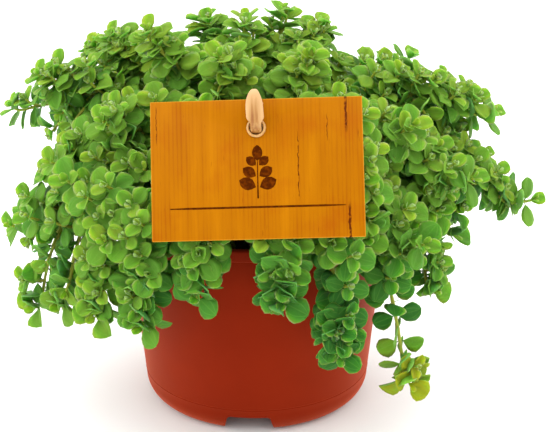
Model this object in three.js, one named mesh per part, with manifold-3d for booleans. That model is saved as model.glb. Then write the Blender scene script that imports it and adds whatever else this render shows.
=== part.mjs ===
import * as THREE from "three";
import { mergeVertices } from "three/addons/utils/BufferGeometryUtils.js";
import Module from "manifold-3d";

// A creeping pilea in a terracotta-coloured plastic nursery pot, with a wooden tag hooked on a
// flat reed stake. Millimetres, +Z up. The origin is the centre of the pot's foot,
// and the front, where the tag hangs, looks along -Y.

const wasm = await Module();
wasm.setup();

// Room left between pieces that touch
const GAP = 0.3;

// The pot: a thin wall that widens upwards and a raised floor. Below the floor the wall rounds
// in to a thin curled foot, which three notches open.
const POT_HEIGHT = 98;
const POT_TOP_RADIUS = 65;
const POT_FOOT_RADIUS = 55.5;
const POT_WALL = 1.8;
const HEEL_RADIUS = 10.3;
const GROOVE_HEIGHT = 13.7;
const GROOVE_DEPTH = 0.6;
const GROOVE_WIDTH = 1.6;
const RIM_HEIGHT = 6;
const RIM_PROUD = 0.9;
const RIM_STEP = 0.6;
const FLOOR_HEIGHT = 11;
const FOOT_WALL = 2.2;
const NOTCH_COUNT = 3;
const NOTCH_WIDTH = 23.5;
const NOTCH_TOP_WIDTH = 21;
const NOTCH_HEIGHT = 9.7;
const NOTCH_AZIMUTH = -93.3;
const NOTCH_START = 36;
const DRAIN_RADIUS = 5;
const DRAIN_CIRCLE = 30;
const DRAIN_SIDES = 8;
const HEEL_STEPS = 3;
const POT_SIDES = 32;

// The soil that fills the pot
const SOIL_TOP = 88;
const SOIL_SIDES = 24;
const HOLE_DEPTH = 9;
const HOLE_RADIUS = 2.7;
const HOLE_SIDES = 3;

// The tag: a thin board that leans back, with an eyelet near its top edge
const TAG_WIDTH = 88.6;
const TAG_HEIGHT = 58.6;
const TAG_THICKNESS = 1.2;
const TAG_FOOT = new THREE.Vector3(2.5, -95.6, 114.9);
const TAG_LEAN = 24;
const TAG_YAW = -2.9;
const TAG_ROLL = 2.5;
const EYELET_DROP = 12.1;
const EYELET_BORE = 2.9;
const EYELET_BARREL = 3.4;
const EYELET_FLANGE = 4.1;
const EYELET_LIP = 0.6;
const EYELET_SIDES = 12;

// The stake: a flat reed strip that stands in the soil and bends over the tag into its eyelet
const STAKE_WIDTH = 7.4;
const STAKE_TIP_WIDTH = 4.2;
const STAKE_OVAL_FOOT = 53.5;
const STAKE_OVAL = 9;
const STAKE_THICKNESS = 1.9;
const STAKE_STANDOFF = 3.6;
const STAKE_FLAT = 0.72;
const STAKE_ROOT = new THREE.Vector3(2, -49, SOIL_TOP - HOLE_DEPTH);

// Stems and side shoots. The scatters are the widths of their random draws: degrees of azimuth
// at a stem's root and end, and millimetres of distance from the pot's axis at its root.
const STEM_RADIUS = 1.05;
const STEM_RISE = 5;
const BARE_RINGS = 3;
const NODE_LENGTH = 1.6;
const ROOT_SWAY = 10;
const ROOT_SCATTER = 4;
const END_SWAY = 30;
const SHOOT_RADIUS = 0.9;
const SHOOT_HALF = 0.45;

// A side shoot's way: how much it goes along its stem, away from it and upwards
const SHOOT_WAY = { along: 0.6, away: 0.72, up: 0.3 };

// Leaves: their shape, then how a pair is turned about its stem and how far it spreads from it,
// in degrees, for pairs along the stem, at its tip and at the tip of a shoot
const LEAF_LENGTH = 15;
const LEAF_THICKNESS = 0.7;
const LEAF_CUP = 0.16;
const LEAF_DROOP = 1.2;
const LEAF_CLEARANCE = 0.35;
const PAIR_TWIST = -28;
const TWIST_SCATTER = 24;
const LEAF_SCATTER = 24;
const LEAF_TILT = 0.5;
const SIZE_SCATTER = 0.2;
const PAIR_SPREAD = 66;
const TIP_SPREAD = 50;
const TIP_REACH = 5;
const SHOOT_SPREAD = 52;
const SHOOT_LEAF_SIZE = 0.94;

// The light comes from above, and more from outside low down on the plant
const LIGHT_REACH = 90;
const LIGHT_RISE = 0.55;
const LIGHT_FLOOR = 60;
const LIGHT_GROWTH = 130;

const SEED = 20;
const SEED_STEP = 7;

// How far back from a stem's end its leaf pairs and side shoots stand, and how long the shoots are
const HABITS = {
  trailing: { pairs: [1, 13, 27], shoots: [[20, 14]] },
  shoulder: { pairs: [1, 13], shoots: [[21, 15], [36, 18]] },
  upper: { pairs: [1, 13], shoots: [[21, 15], [35, 17]] },
  crown: { pairs: [1, 13], shoots: [[21, 15], [33, 17]] },
};

// Turns in degrees about the stem, and sizes, that a crowded leaf tries one after the other
const TRIES = [
  [0, 1], [16, 1], [-16, 1], [32, 1], [-32, 1],
  [0, 0.8], [24, 0.8], [-24, 0.8], [40, 0.8], [-40, 0.8],
];

const rad = THREE.MathUtils.degToRad;
const UP = new THREE.Vector3(0, 0, 1);

// A closed geometry as a solid that can be joined and cut
function solid(geometry) {
  const plain = geometry.clone();
  plain.deleteAttribute("normal");
  plain.deleteAttribute("uv");
  const merged = mergeVertices(plain, 1e-4);
  const corners = merged.index.array;
  const kept = [];
  for (let i = 0; i < corners.length; i += 3) {
    const [a, b, c] = [corners[i], corners[i + 1], corners[i + 2]];
    if (a !== b && b !== c && c !== a) kept.push(a, b, c);
  }
  return new wasm.Manifold(
    new wasm.Mesh({
      numProp: 3,
      vertProperties: new Float32Array(merged.attributes.position.array),
      triVerts: new Uint32Array(kept),
    }),
  );
}

// A joined solid back as a geometry
function surface(body) {
  const mesh = body.getMesh();
  const geometry = new THREE.BufferGeometry();
  geometry.setAttribute("position", new THREE.BufferAttribute(new Float32Array(mesh.vertProperties), 3));
  geometry.setIndex(new THREE.BufferAttribute(new Uint32Array(mesh.triVerts), 1));
  geometry.computeVertexNormals();
  return geometry;
}

// A direction or place at an azimuth in degrees, a radius and a height
function polar(azimuth, radius, height) {
  return new THREE.Vector3(radius * Math.cos(rad(azimuth)), radius * Math.sin(rad(azimuth)), height);
}

// Repeatable random numbers from 0 to 1
function draws(seed) {
  let state = seed >>> 0;
  return () => {
    state = (state + 0x6d2b79f5) >>> 0;
    let t = Math.imul(state ^ (state >>> 15), state | 1);
    t ^= t + Math.imul(t ^ (t >>> 7), t | 61);
    return ((t ^ (t >>> 14)) >>> 0) / 4294967296;
  };
}

// POT

const wallSlope = (POT_TOP_RADIUS - POT_FOOT_RADIUS) / POT_HEIGHT;
const wallRadius = (height) => POT_FOOT_RADIUS + wallSlope * height;

const heelCentre = wallRadius(HEEL_RADIUS) - HEEL_RADIUS;

// A point of the heel's round, `turn` degrees up from its lowest point, on an arc of any radius
function heelPoint(radius, turn) {
  return [heelCentre + radius * Math.sin(rad(turn)), HEEL_RADIUS - radius * Math.cos(rad(turn))];
}

function potProfile() {
  const inner = HEEL_RADIUS - FOOT_WALL;
  const inside = (height) => wallRadius(height) - POT_WALL;
  const bead = POT_HEIGHT - RIM_HEIGHT;
  const grooveFoot = GROOVE_HEIGHT - GROOVE_WIDTH / 2;
  const grooveTop = GROOVE_HEIGHT + GROOVE_WIDTH / 2;
  const profile = [
    [0, FLOOR_HEIGHT],
    [heelCentre + inner, FLOOR_HEIGHT],
    heelPoint(inner, 45),
    heelPoint(inner, 0),
    [heelCentre - FOOT_WALL, 0],
  ];
  for (let i = 0; i <= HEEL_STEPS; i++) profile.push(heelPoint(HEEL_RADIUS, (i * 90) / HEEL_STEPS));
  profile.push(
    [wallRadius(grooveFoot), grooveFoot],
    [wallRadius(GROOVE_HEIGHT) - GROOVE_DEPTH, GROOVE_HEIGHT],
    [wallRadius(grooveTop), grooveTop],
    [wallRadius(bead), bead],
    [wallRadius(bead) + RIM_PROUD, bead + RIM_STEP],
    [POT_TOP_RADIUS + RIM_PROUD, POT_HEIGHT],
    [POT_TOP_RADIUS - POT_WALL, POT_HEIGHT],
    [inside(FLOOR_HEIGHT + POT_WALL), FLOOR_HEIGHT + POT_WALL],
    [0, FLOOR_HEIGHT + POT_WALL],
  );
  return profile.map(([radius, height]) => new THREE.Vector2(radius, height));
}

// A wedge-shaped block that cuts one notch through the foot ring
function notchBlock(azimuth) {
  const outline = new THREE.Shape();
  outline.moveTo(-NOTCH_WIDTH / 2, -1);
  outline.lineTo(NOTCH_WIDTH / 2, -1);
  outline.lineTo(NOTCH_TOP_WIDTH / 2, NOTCH_HEIGHT);
  outline.lineTo(-NOTCH_TOP_WIDTH / 2, NOTCH_HEIGHT);
  const block = new THREE.ExtrudeGeometry(outline, { depth: POT_FOOT_RADIUS, bevelEnabled: false });
  block.rotateX(rad(90));
  block.translate(0, -NOTCH_START, 0);
  block.rotateZ(rad(azimuth + 90));
  return block;
}

function drainPin(azimuth) {
  const pin = new THREE.CylinderGeometry(DRAIN_RADIUS, DRAIN_RADIUS, 3 * POT_WALL, DRAIN_SIDES);
  pin.rotateX(rad(90));
  const place = polar(azimuth, DRAIN_CIRCLE, FLOOR_HEIGHT + POT_WALL / 2);
  pin.translate(place.x, place.y, place.z);
  return pin;
}

function potSolid() {
  let pot = solid(new THREE.LatheGeometry(potProfile(), POT_SIDES).rotateX(rad(90)));
  for (let i = 0; i < NOTCH_COUNT; i++) {
    const azimuth = NOTCH_AZIMUTH + (i * 360) / NOTCH_COUNT;
    pot = pot.subtract(solid(notchBlock(azimuth)));
    pot = pot.subtract(solid(drainPin(azimuth + 60)));
  }
  return pot;
}

// TAG, EYELET AND STAKE

// The tag's own frame: X to the right, Z up the board, -Y out of its face
const tagFrame = new THREE.Group();
tagFrame.position.copy(TAG_FOOT);
tagFrame.rotation.set(rad(-TAG_LEAN), rad(-TAG_ROLL), rad(TAG_YAW), "ZXY");
tagFrame.updateMatrixWorld(true);

const eyeletHeight = TAG_HEIGHT - EYELET_DROP;

function tagBoard() {
  const board = new THREE.Shape();
  board.moveTo(-TAG_WIDTH / 2, 0);
  board.lineTo(TAG_WIDTH / 2, 0);
  board.lineTo(TAG_WIDTH / 2, TAG_HEIGHT);
  board.lineTo(-TAG_WIDTH / 2, TAG_HEIGHT);
  const hole = new THREE.Path();
  hole.absarc(0, eyeletHeight, EYELET_BARREL + GAP, 0, 2 * Math.PI, true);
  board.holes.push(hole);
  const geometry = new THREE.ExtrudeGeometry(board, {
    depth: TAG_THICKNESS,
    bevelEnabled: false,
    curveSegments: EYELET_SIDES / 2,
  });
  return geometry.rotateX(rad(90)).translate(0, TAG_THICKNESS, 0);
}

function eyeletRing() {
  const front = -GAP - EYELET_LIP;
  const back = TAG_THICKNESS + GAP + EYELET_LIP;
  const profile = [
    [EYELET_BORE, front],
    [EYELET_FLANGE, front],
    [EYELET_FLANGE, -GAP],
    [EYELET_BARREL, -GAP],
    [EYELET_BARREL, TAG_THICKNESS + GAP],
    [EYELET_FLANGE, TAG_THICKNESS + GAP],
    [EYELET_FLANGE, back],
    [EYELET_BORE, back],
    [EYELET_BORE, front],
  ].map(([radius, depth]) => new THREE.Vector2(radius, depth));
  return new THREE.LatheGeometry(profile, EYELET_SIDES).translate(0, 0, eyeletHeight);
}

// A path of straight stretches, cut exactly at its chosen points
class Stretches extends THREE.Curve {
  constructor(points) {
    super();
    this.points = points;
    this.steps = points.length - 1;
  }

  getPointAt(u, target = new THREE.Vector3()) {
    return target.copy(this.points[Math.round(u * this.steps)]);
  }

  getTangentAt(u, target = new THREE.Vector3()) {
    const here = Math.round(u * this.steps);
    const way = (start) => this.points[start + 1].clone().sub(this.points[start]).normalize();
    const before = way(Math.max(here - 1, 0));
    return target.copy(before).add(way(Math.min(here, this.steps - 1))).normalize();
  }
}

// The stake's middle line: up from the soil behind the board, over its top edge, down its face
// and back through the eyelet. After the first, each point is given as across, behind and up
// in the tag's own frame.
const STAKE_HOOK = [
  [-0.4, 4.6, 50], [-0.5, 3.2, 57], [-0.5, 2.6, 60], [-0.5, 0.4, 61.9],
  [-0.5, -2, 61.1], [-0.5, -3.3, 58.3], [-0.4, -3.6, 55], [-0.2, -3.6, 51],
  [0, -3.2, 48.4], [0, -1.9, 46.4], [0, 0.6, 45.6], [0, 3.2, 45.4],
];

function stakeLine() {
  const hook = STAKE_HOOK.map((place) => tagFrame.localToWorld(new THREE.Vector3(...place)));
  return new Stretches([STAKE_ROOT, ...hook]);
}

// How wide the strip is as a share of its full width: an oval over the bend, and drawn in again
// where it comes down the face into the eyelet
function stakeTaper(point) {
  const above = Math.max(point.z - STAKE_OVAL_FOOT, 0) / STAKE_OVAL;
  const bend = Math.sqrt(Math.max(0.1, 1 - above ** 2));
  if (point.y >= STAKE_STANDOFF) return bend;
  const entry = THREE.MathUtils.smoothstep(point.z, eyeletHeight + 1, eyeletHeight + 4);
  return bend * THREE.MathUtils.lerp(STAKE_TIP_WIDTH / STAKE_WIDTH, 1, entry);
}

// The strip swept along that line, and thicker all round by `extra`
function stakeStrip(extra) {
  const w = STAKE_WIDTH / 2 + extra;
  const t = STAKE_THICKNESS / 2 + extra;
  const section = new THREE.Shape();
  section.moveTo(w, 0);
  const flat = STAKE_FLAT * w;
  for (const [x, y] of [[flat, t], [-flat, t], [-w, 0], [-flat, -t], [flat, -t]]) section.lineTo(x, y);
  const line = stakeLine();
  const sweep = { steps: line.steps, extrudePath: line, bevelEnabled: false };
  const strip = new THREE.ExtrudeGeometry(section, sweep);
  const place = strip.attributes.position;
  const point = new THREE.Vector3();
  for (let i = 0; i < place.count; i++) {
    tagFrame.worldToLocal(point.fromBufferAttribute(place, i));
    point.x *= stakeTaper(point);
    tagFrame.localToWorld(point);
    place.setXYZ(i, point.x, point.y, point.z);
  }
  return strip;
}

// SPRAYS

// What each tier of sprays shares: the ring of soil it grows from, how high its stems rise before
// they turn, and how the ends lie, with the pitch in degrees above level
const TIERS = {
  trailing: { rootRadius: 46, rise: 54, arm: 72, pitch: -82 },
  shoulder: { rootRadius: 34, rise: 48, arm: 52, pitch: -18 },
  upper: { rootRadius: 22, rise: 62, arm: 34, pitch: 22 },
  crown: { rootRadius: 10, rise: 50, arm: 24, pitch: 58 },
};

// Where the stem ends of each tier lie: azimuth in degrees, distance from the pot's axis, height
const ENDS = {
  trailing: [
    [-167, 107, 52], [-153, 99, 62], [-137, 95, 66], [-122, 91, 67], [-106, 86, 83], [-82, 86, 82],
    [-65, 88, 54], [-55, 83, 104], [-39, 90, 29], [-15, 86, 62], [9, 98, 74], [34, 92, 60],
    [62, 92, 68], [90, 93, 58], [118, 92, 68], [148, 95, 58],
  ],
  shoulder: [
    [-178, 117, 86], [-162, 96, 126], [-142, 95, 112], [-42, 98, 100], [-20, 104, 120], [-3, 131, 100],
    [4, 113, 139], [30, 112, 122], [64, 98, 122], [96, 94, 118], [127, 99, 118], [157, 137, 130],
  ],
  upper: [
    [176, 103, 158], [154, 91, 164], [-145, 80, 150], [-116, 70, 154], [-64, 70, 154], [-34, 84, 148],
    [-6, 82, 158], [26, 84, 160], [66, 76, 160], [108, 76, 160],
  ],
  crown: [
    [-112, 40, 177], [-54, 42, 176], [34, 38, 180], [70, 38, 183], [124, 46, 179], [166, 70, 175],
    [-162, 50, 184], [104, 20, 183],
  ],
};

// One spray: its stem's curve, the twist of its leaf pairs and its own random draws, plain and
// centred on nought
function spray(tier, [azimuth, reach, height], seed) {
  const shape = TIERS[tier];
  const draw = draws(seed);
  const scatter = (width) => (draw() - 0.5) * width;
  const rootAzimuth = azimuth + scatter(ROOT_SWAY);
  const foot = polar(rootAzimuth, shape.rootRadius + scatter(ROOT_SCATTER), SOIL_TOP + STEM_RISE);
  const end = polar(azimuth, reach, height);
  const pitch = rad(shape.pitch);
  const along = polar(azimuth + scatter(END_SWAY), Math.cos(pitch), Math.sin(pitch));
  const curve = new THREE.CubicBezierCurve3(
    foot,
    foot.clone().addScaledVector(UP, shape.rise),
    end.clone().addScaledVector(along, -shape.arm),
    end,
  );
  return { tier, azimuth, foot, curve, draw, scatter, twist: PAIR_TWIST + scatter(TWIST_SCATTER) };
}

// The light that the leaves turn to: up, and outwards from the middle of the plant
function lightAt(place) {
  const outward = new THREE.Vector3(place.x, place.y, 0).divideScalar(LIGHT_REACH);
  return outward.setZ(LIGHT_RISE + Math.max(0, place.z - LIGHT_FLOOR) / LIGHT_GROWTH).normalize();
}

// Three directions at a place on a stem: along it, level sideways and, square to both, upwards
function stemFrame(tangent, azimuth) {
  const level = polar(azimuth + 90, 1, 0);
  const side = level.addScaledVector(tangent, -level.dot(tangent)).normalize();
  return { tangent, side, lit: tangent.clone().cross(side) };
}

// A direction square to the stem, at an angle in degrees from sideways towards upwards
function around({ side, lit }, angle) {
  return side.clone().multiplyScalar(Math.cos(rad(angle))).addScaledVector(lit, Math.sin(rad(angle)));
}

const wallAngle = (wall, twist) => 90 * (wall + 1) + twist;

// One leaf lying along X: a round, slightly cupped blade with a blunt end. Its two faces are
// split alike, and its four corners nearest X = 0 are where its foot joins on.
const LEAF_EDGE = [[0.34, -0.27], [0.7, -0.44], [0.99, -0.19], [0.99, 0.19], [0.7, 0.44], [0.34, 0.27]];
const LEAF_FACES = [[0, 1, 5], [1, 4, 5], [1, 2, 4], [2, 3, 4]];

// The leaf's narrow foot, which closes its outline back to the stem, and the faces over it
const FOOT_EDGE = [[0.07, 0.06], [0.07, -0.06]];
const FOOT_FACES = [[0, 5, 6], [0, 6, 7]];

function leafPoints(edge, grow) {
  const points = [];
  for (const face of [1, -1]) {
    for (const [x, y] of edge) {
      const bend = LEAF_CUP * Math.abs(y) * LEAF_LENGTH - LEAF_DROOP * x * x;
      const wide = y * LEAF_LENGTH + Math.sign(y) * grow;
      const thick = face * (LEAF_THICKNESS / 2 + grow);
      points.push(new THREE.Vector3(x * LEAF_LENGTH + grow, wide, bend + thick));
    }
  }
  return points;
}

const leafBlade = leafPoints(LEAF_EDGE, 0);

// A leaf's place: its foot in the stem, its length along `axis`, its face towards `light`
function leafMatrix({ foot, axis, light, size }) {
  const across = light.clone().cross(axis).normalize();
  return new THREE.Matrix4()
    .makeBasis(axis, across, axis.clone().cross(across))
    .scale(new THREE.Vector3(size, size, 1))
    .setPosition(foot);
}

// A closed body that grows ring by ring: rings of four corners are joined by walls, and a leaf
// or a side shoot can stand in place of one wall
class Growth {
  points = [];
  faces = [];

  add(points) {
    const first = this.points.length;
    this.points.push(...points);
    return points.map((_, index) => first + index);
  }

  ring({ place, frame, radius, twist }) {
    const corner = (index) => around(frame, 45 + 90 * index + twist).multiplyScalar(radius).add(place);
    return this.add([0, 1, 2, 3].map(corner));
  }

  quad([a, b, c, d]) {
    this.faces.push(a, b, c, a, c, d);
  }

  // Four walls from an opening to the ring of corners that stands over it, turned to lie nearest
  bridge(opening, ring) {
    const gap = (from, to) => this.points[from].distanceTo(this.points[to]);
    const reach = (turn) => opening.reduce((sum, from, i) => sum + gap(from, ring[(i + turn) % 4]), 0);
    const turn = [0, 1, 2, 3].sort((a, b) => reach(a) - reach(b))[0];
    for (let i = 0; i < 4; i++) {
      const next = (i + 1) % 4;
      this.quad([opening[i], opening[next], ring[(next + turn) % 4], ring[(i + turn) % 4]]);
    }
    return ring;
  }

  leaf(opening, matrix) {
    const count = LEAF_EDGE.length;
    const at = this.add(leafBlade.map((point) => point.clone().applyMatrix4(matrix)));
    this.bridge(opening, [at[count - 1], at[0], at[count], at[2 * count - 1]]);
    for (const [a, b, c] of LEAF_FACES) {
      this.faces.push(at[a], at[b], at[c], at[c + count], at[b + count], at[a + count]);
    }
    for (let i = 0; i + 1 < count; i++) this.quad([at[i], at[i + count], at[i + 1 + count], at[i + 1]]);
  }

  // A stem from a first ring through its stations, with what stands in each station's walls
  stem(ring, stations) {
    for (const station of stations) {
      const next = this.ring(station);
      for (let wall = 0; wall < 4; wall++) {
        const end = (wall + 1) % 4;
        const opening = [ring[wall], ring[end], next[end], next[wall]];
        const branch = station.branches?.[wall];
        if (branch?.stations) this.shoot(opening, branch.stations);
        else if (branch) this.leaf(opening, leafMatrix(branch));
        else this.quad(opening);
      }
      ring = next;
    }
    this.quad(ring);
  }

  shoot(opening, [first, ...rest]) {
    this.stem(this.bridge(opening, this.ring(first)), rest);
  }

  geometry() {
    const geometry = new THREE.BufferGeometry().setFromPoints(this.points);
    return geometry.setIndex(this.faces);
  }
}

// The closed room that a leaf keeps free around its blade, with or without its foot
function leafRoom(matrix, withFoot) {
  const edge = withFoot ? [...LEAF_EDGE, ...FOOT_EDGE] : LEAF_EDGE;
  const growth = new Growth();
  const at = growth.add(leafPoints(edge, LEAF_CLEARANCE).map((point) => point.applyMatrix4(matrix)));
  const count = edge.length;
  for (const [a, b, c] of withFoot ? [...LEAF_FACES, ...FOOT_FACES] : LEAF_FACES) {
    growth.faces.push(at[a], at[b], at[c], at[c + count], at[b + count], at[a + count]);
  }
  for (let i = 0; i < count; i++) {
    const next = (i + 1) % count;
    growth.quad([at[i], at[i + count], at[next + count], at[next]]);
  }
  return boxed(solid(growth.geometry()));
}

// The pair of leaves that a station carries in two of its walls
function leafPair(station, walls, spread, size, { draw, scatter }) {
  station.branches = {};
  for (const wall of walls) {
    const out = around(station.frame, wallAngle(wall, station.twist) + scatter(LEAF_SCATTER));
    const axis = station.frame.tangent.clone().multiplyScalar(Math.cos(rad(spread)));
    const tilt = new THREE.Vector3(scatter(LEAF_TILT), scatter(LEAF_TILT), scatter(LEAF_TILT));
    station.branches[wall] = {
      foot: station.node,
      turnAxis: station.frame.tangent,
      axis: axis.addScaledVector(out, Math.sin(rad(spread))),
      light: lightAt(station.place).add(tilt),
      size: size * (1 + SIZE_SCATTER * (draw() - 0.5)),
    };
  }
}

// Two stations that frame a node, where leaves or a shoot stand, `length` after `place`
function nodeStations(place, frame, radius, twist) {
  const reach = frame.tangent.clone().multiplyScalar(NODE_LENGTH / 2);
  const below = { place: place.clone().sub(reach), frame, radius, twist };
  const above = { place: place.clone().add(reach), frame, radius, twist, node: place };
  return [below, above];
}

// A side shoot out of one wall of a node, with a pair of leaves at its tip
function shootStations(item, node, wall, length) {
  const { tangent, lit } = node.frame;
  const out = tangent.clone().multiplyScalar(SHOOT_WAY.along);
  out.addScaledVector(around(node.frame, wallAngle(wall, item.twist)), SHOOT_WAY.away);
  out.addScaledVector(lit, SHOOT_WAY.up).normalize();
  const frame = stemFrame(out, item.azimuth);
  const at = (reach) => node.node.clone().addScaledVector(out, reach);
  const half = { place: at(length * SHOOT_HALF), frame, radius: SHOOT_RADIUS, twist: 0 };
  const [below, tip] = nodeStations(at(length), frame, SHOOT_RADIUS, 0);
  leafPair(tip, [1, 3], SHOOT_SPREAD, SHOOT_LEAF_SIZE, item);
  return [half, below, tip];
}

// A spray's stations from the soil to its end, with its leaf pairs and shoots in their walls
function sprayStations(item) {
  const { curve, azimuth, twist, foot, draw } = item;
  const length = curve.getLength();
  const at = (back) => {
    const along = 1 - back / length;
    return { place: curve.getPointAt(along), frame: stemFrame(curve.getTangentAt(along), azimuth) };
  };
  const { pairs, shoots } = HABITS[item.tier];
  const furthest = Math.max(...pairs, ...shoots.map(([back]) => back));
  const stations = [];
  for (let i = 0; i < BARE_RINGS; i++) {
    const { place, frame } = at(length - ((length - furthest) * i) / BARE_RINGS);
    stations.push({ place, frame, radius: STEM_RADIUS, twist });
  }
  const backs = [...pairs.map((back) => [back, null]), ...shoots].sort((a, b) => b[0] - a[0]);
  let shootWall = draw() < 0.5 ? 1 : 3;
  let pairWalls = pairs.length % 2 ? [1, 3] : [0, 2];
  for (const [back, shootLength] of backs) {
    const { place, frame } = at(back);
    const [below, node] = nodeStations(place, frame, STEM_RADIUS, twist);
    if (shootLength) {
      node.branches = { [shootWall]: { stations: shootStations(item, node, shootWall, shootLength) } };
      shootWall = 4 - shootWall;
    } else {
      leafPair(node, pairWalls, back > TIP_REACH ? PAIR_SPREAD : TIP_SPREAD, 1, item);
      pairWalls = pairWalls.map((wall) => (wall + 1) % 4);
    }
    stations.push(below, node);
  }
  const rootPlace = foot.clone().setZ(SOIL_TOP - HOLE_DEPTH);
  const root = { place: rootPlace, frame: stemFrame(UP, azimuth), radius: STEM_RADIUS, twist };
  return [root, ...stations];
}

// The same stations without their leaves
function bareStations(stations) {
  return stations.map(({ branches, ...station }) => {
    const shoots = Object.entries(branches ?? {}).filter(([, branch]) => branch.stations);
    const bare = shoots.map(([wall, shoot]) => [wall, { stations: bareStations(shoot.stations) }]);
    return { ...station, branches: Object.fromEntries(bare) };
  });
}

function stemGeometry([first, ...rest]) {
  const growth = new Growth();
  const ring = growth.ring(first);
  growth.quad([...ring].reverse());
  growth.stem(ring, rest);
  return growth.geometry();
}

function stemHole(foot) {
  const depth = HOLE_DEPTH + GAP;
  const hole = new THREE.CylinderGeometry(HOLE_RADIUS, HOLE_RADIUS, 2 * depth, HOLE_SIDES);
  return hole.rotateX(rad(90)).translate(foot.x, foot.y, SOIL_TOP);
}

// A body with its box, so that only near neighbours are compared
function boxed(body) {
  const { min, max } = body.boundingBox();
  return { body, box: new THREE.Box3(new THREE.Vector3(...min), new THREE.Vector3(...max)) };
}

function meets(candidate, others) {
  return others.some(
    (other) => candidate.box.intersectsBox(other.box) && !candidate.body.intersect(other.body).isEmpty(),
  );
}

// A leaf turned a little further about its stem, or drawn smaller, until its room is clear
function clearLeaf(leaf, foreign, own) {
  for (const [turn, scale] of TRIES) {
    const axis = leaf.axis.clone().applyAxisAngle(leaf.turnAxis, rad(turn));
    const placed = { ...leaf, axis, size: leaf.size * scale };
    const whole = leafRoom(leafMatrix(placed), true);
    const blade = leafRoom(leafMatrix(placed), false);
    if (!meets(whole, foreign) && !meets(blade, own)) return { placed, whole, blade };
  }
  return null;
}

// BUILD

const colours = {
  pot: new THREE.MeshStandardMaterial({ color: 0x9a3019, roughness: 0.55, metalness: 0 }),
  soil: new THREE.MeshStandardMaterial({ color: 0x2b1d14, roughness: 1, metalness: 0 }),
  tag: new THREE.MeshStandardMaterial({ color: 0xd98a12, roughness: 0.6, metalness: 0 }),
  eyelet: new THREE.MeshStandardMaterial({ color: 0xe8c9a0, roughness: 0.45, metalness: 0 }),
  stake: new THREE.MeshStandardMaterial({ color: 0xf0c890, roughness: 0.7, metalness: 0 }),
  foliage: new THREE.MeshStandardMaterial({ color: 0x5a9e2e, roughness: 0.5, metalness: 0 }),
};

const sprays = [];
for (const [tier, ends] of Object.entries(ENDS)) {
  for (const end of ends) sprays.push(spray(tier, end, SEED + sprays.length * SEED_STEP));
}

const potBody = potSolid();
const tagBody = solid(tagBoard().applyMatrix4(tagFrame.matrixWorld));
const eyeletBody = solid(eyeletRing().applyMatrix4(tagFrame.matrixWorld));
const stakeBody = solid(stakeStrip(0));

function soilSolid() {
  const bottom = FLOOR_HEIGHT + POT_WALL + GAP;
  const inside = (height) => wallRadius(height) - POT_WALL - 2 * GAP;
  const profile = [
    [0, bottom],
    [inside(bottom), bottom],
    [inside(SOIL_TOP), SOIL_TOP],
    [0, SOIL_TOP],
  ].map(([radius, height]) => new THREE.Vector2(radius, height));
  let soil = solid(new THREE.LatheGeometry(profile, SOIL_SIDES).rotateX(rad(90)));
  const holes = sprays.map(({ foot }) => solid(stemHole(foot)));
  holes.push(solid(stakeStrip(GAP).translate(0, 0, -GAP)));
  for (const hole of holes) soil = soil.subtract(hole);
  return soil;
}

const soilBody = soilSolid();

// Every leaf that a spray wants, as the wall it stands in
function leafWalls(stations) {
  return stations.flatMap(({ branches }) =>
    Object.entries(branches ?? {}).flatMap(([wall, branch]) =>
      branch.stations ? leafWalls(branch.stations) : [{ branches, wall }],
    ),
  );
}

for (const item of sprays) {
  item.stations = sprayStations(item);
  item.stem = boxed(solid(stemGeometry(bareStations(item.stations))));
  item.wanted = leafWalls(item.stations).reverse();
  item.rooms = [];
  item.blades = [];
}

// Leaves are set in turns, one on each spray, so that no spray crowds out its neighbours
const fixed = [potBody, soilBody, tagBody, eyeletBody, stakeBody].map(boxed);
const most = Math.max(...sprays.map((item) => item.wanted.length));
for (let turn = 0; turn < most; turn++) {
  for (const item of sprays) {
    if (turn >= item.wanted.length) continue;
    const { branches, wall } = item.wanted[turn];
    const others = sprays.filter((other) => other !== item);
    const foreign = [...fixed, ...others.flatMap(({ stem, rooms }) => [stem, ...rooms])];
    const clear = clearLeaf(branches[wall], foreign, [item.stem, ...item.blades]);
    if (clear) {
      branches[wall] = clear.placed;
      item.rooms.push(clear.whole);
      item.blades.push(clear.blade);
    } else {
      delete branches[wall];
    }
  }
}

const group = new THREE.Group();

function add(name, body, material) {
  const mesh = new THREE.Mesh(surface(body), material);
  mesh.name = name;
  group.add(mesh);
}

add("pot", potBody, colours.pot);
add("soil", soilBody, colours.soil);
add("tag_board", tagBody, colours.tag);
add("tag_eyelet", eyeletBody, colours.eyelet);
add("tag_stake", stakeBody, colours.stake);
sprays.forEach((item, index) => {
  const name = `${item.tier}_spray_${String(index + 1).padStart(2, "0")}`;
  add(name, solid(stemGeometry(item.stations)), colours.foliage);
});

export default group;
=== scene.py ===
"""A creeping pilea in a terracotta-coloured nursery pot, with a wooden tag hooked on a reed stake.

Sizes are millimetres in the classes, and metres once a mesh is made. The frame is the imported
model's: +Z up, the tag's face along -Y, the origin at the centre of the pot's foot.
"""

import logging
import math
from contextlib import contextmanager
from dataclasses import dataclass, field
from enum import Enum
from typing import Any, Callable, Iterator, Sequence

import bpy
import numpy as np
from mathutils import Matrix, Vector


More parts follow.
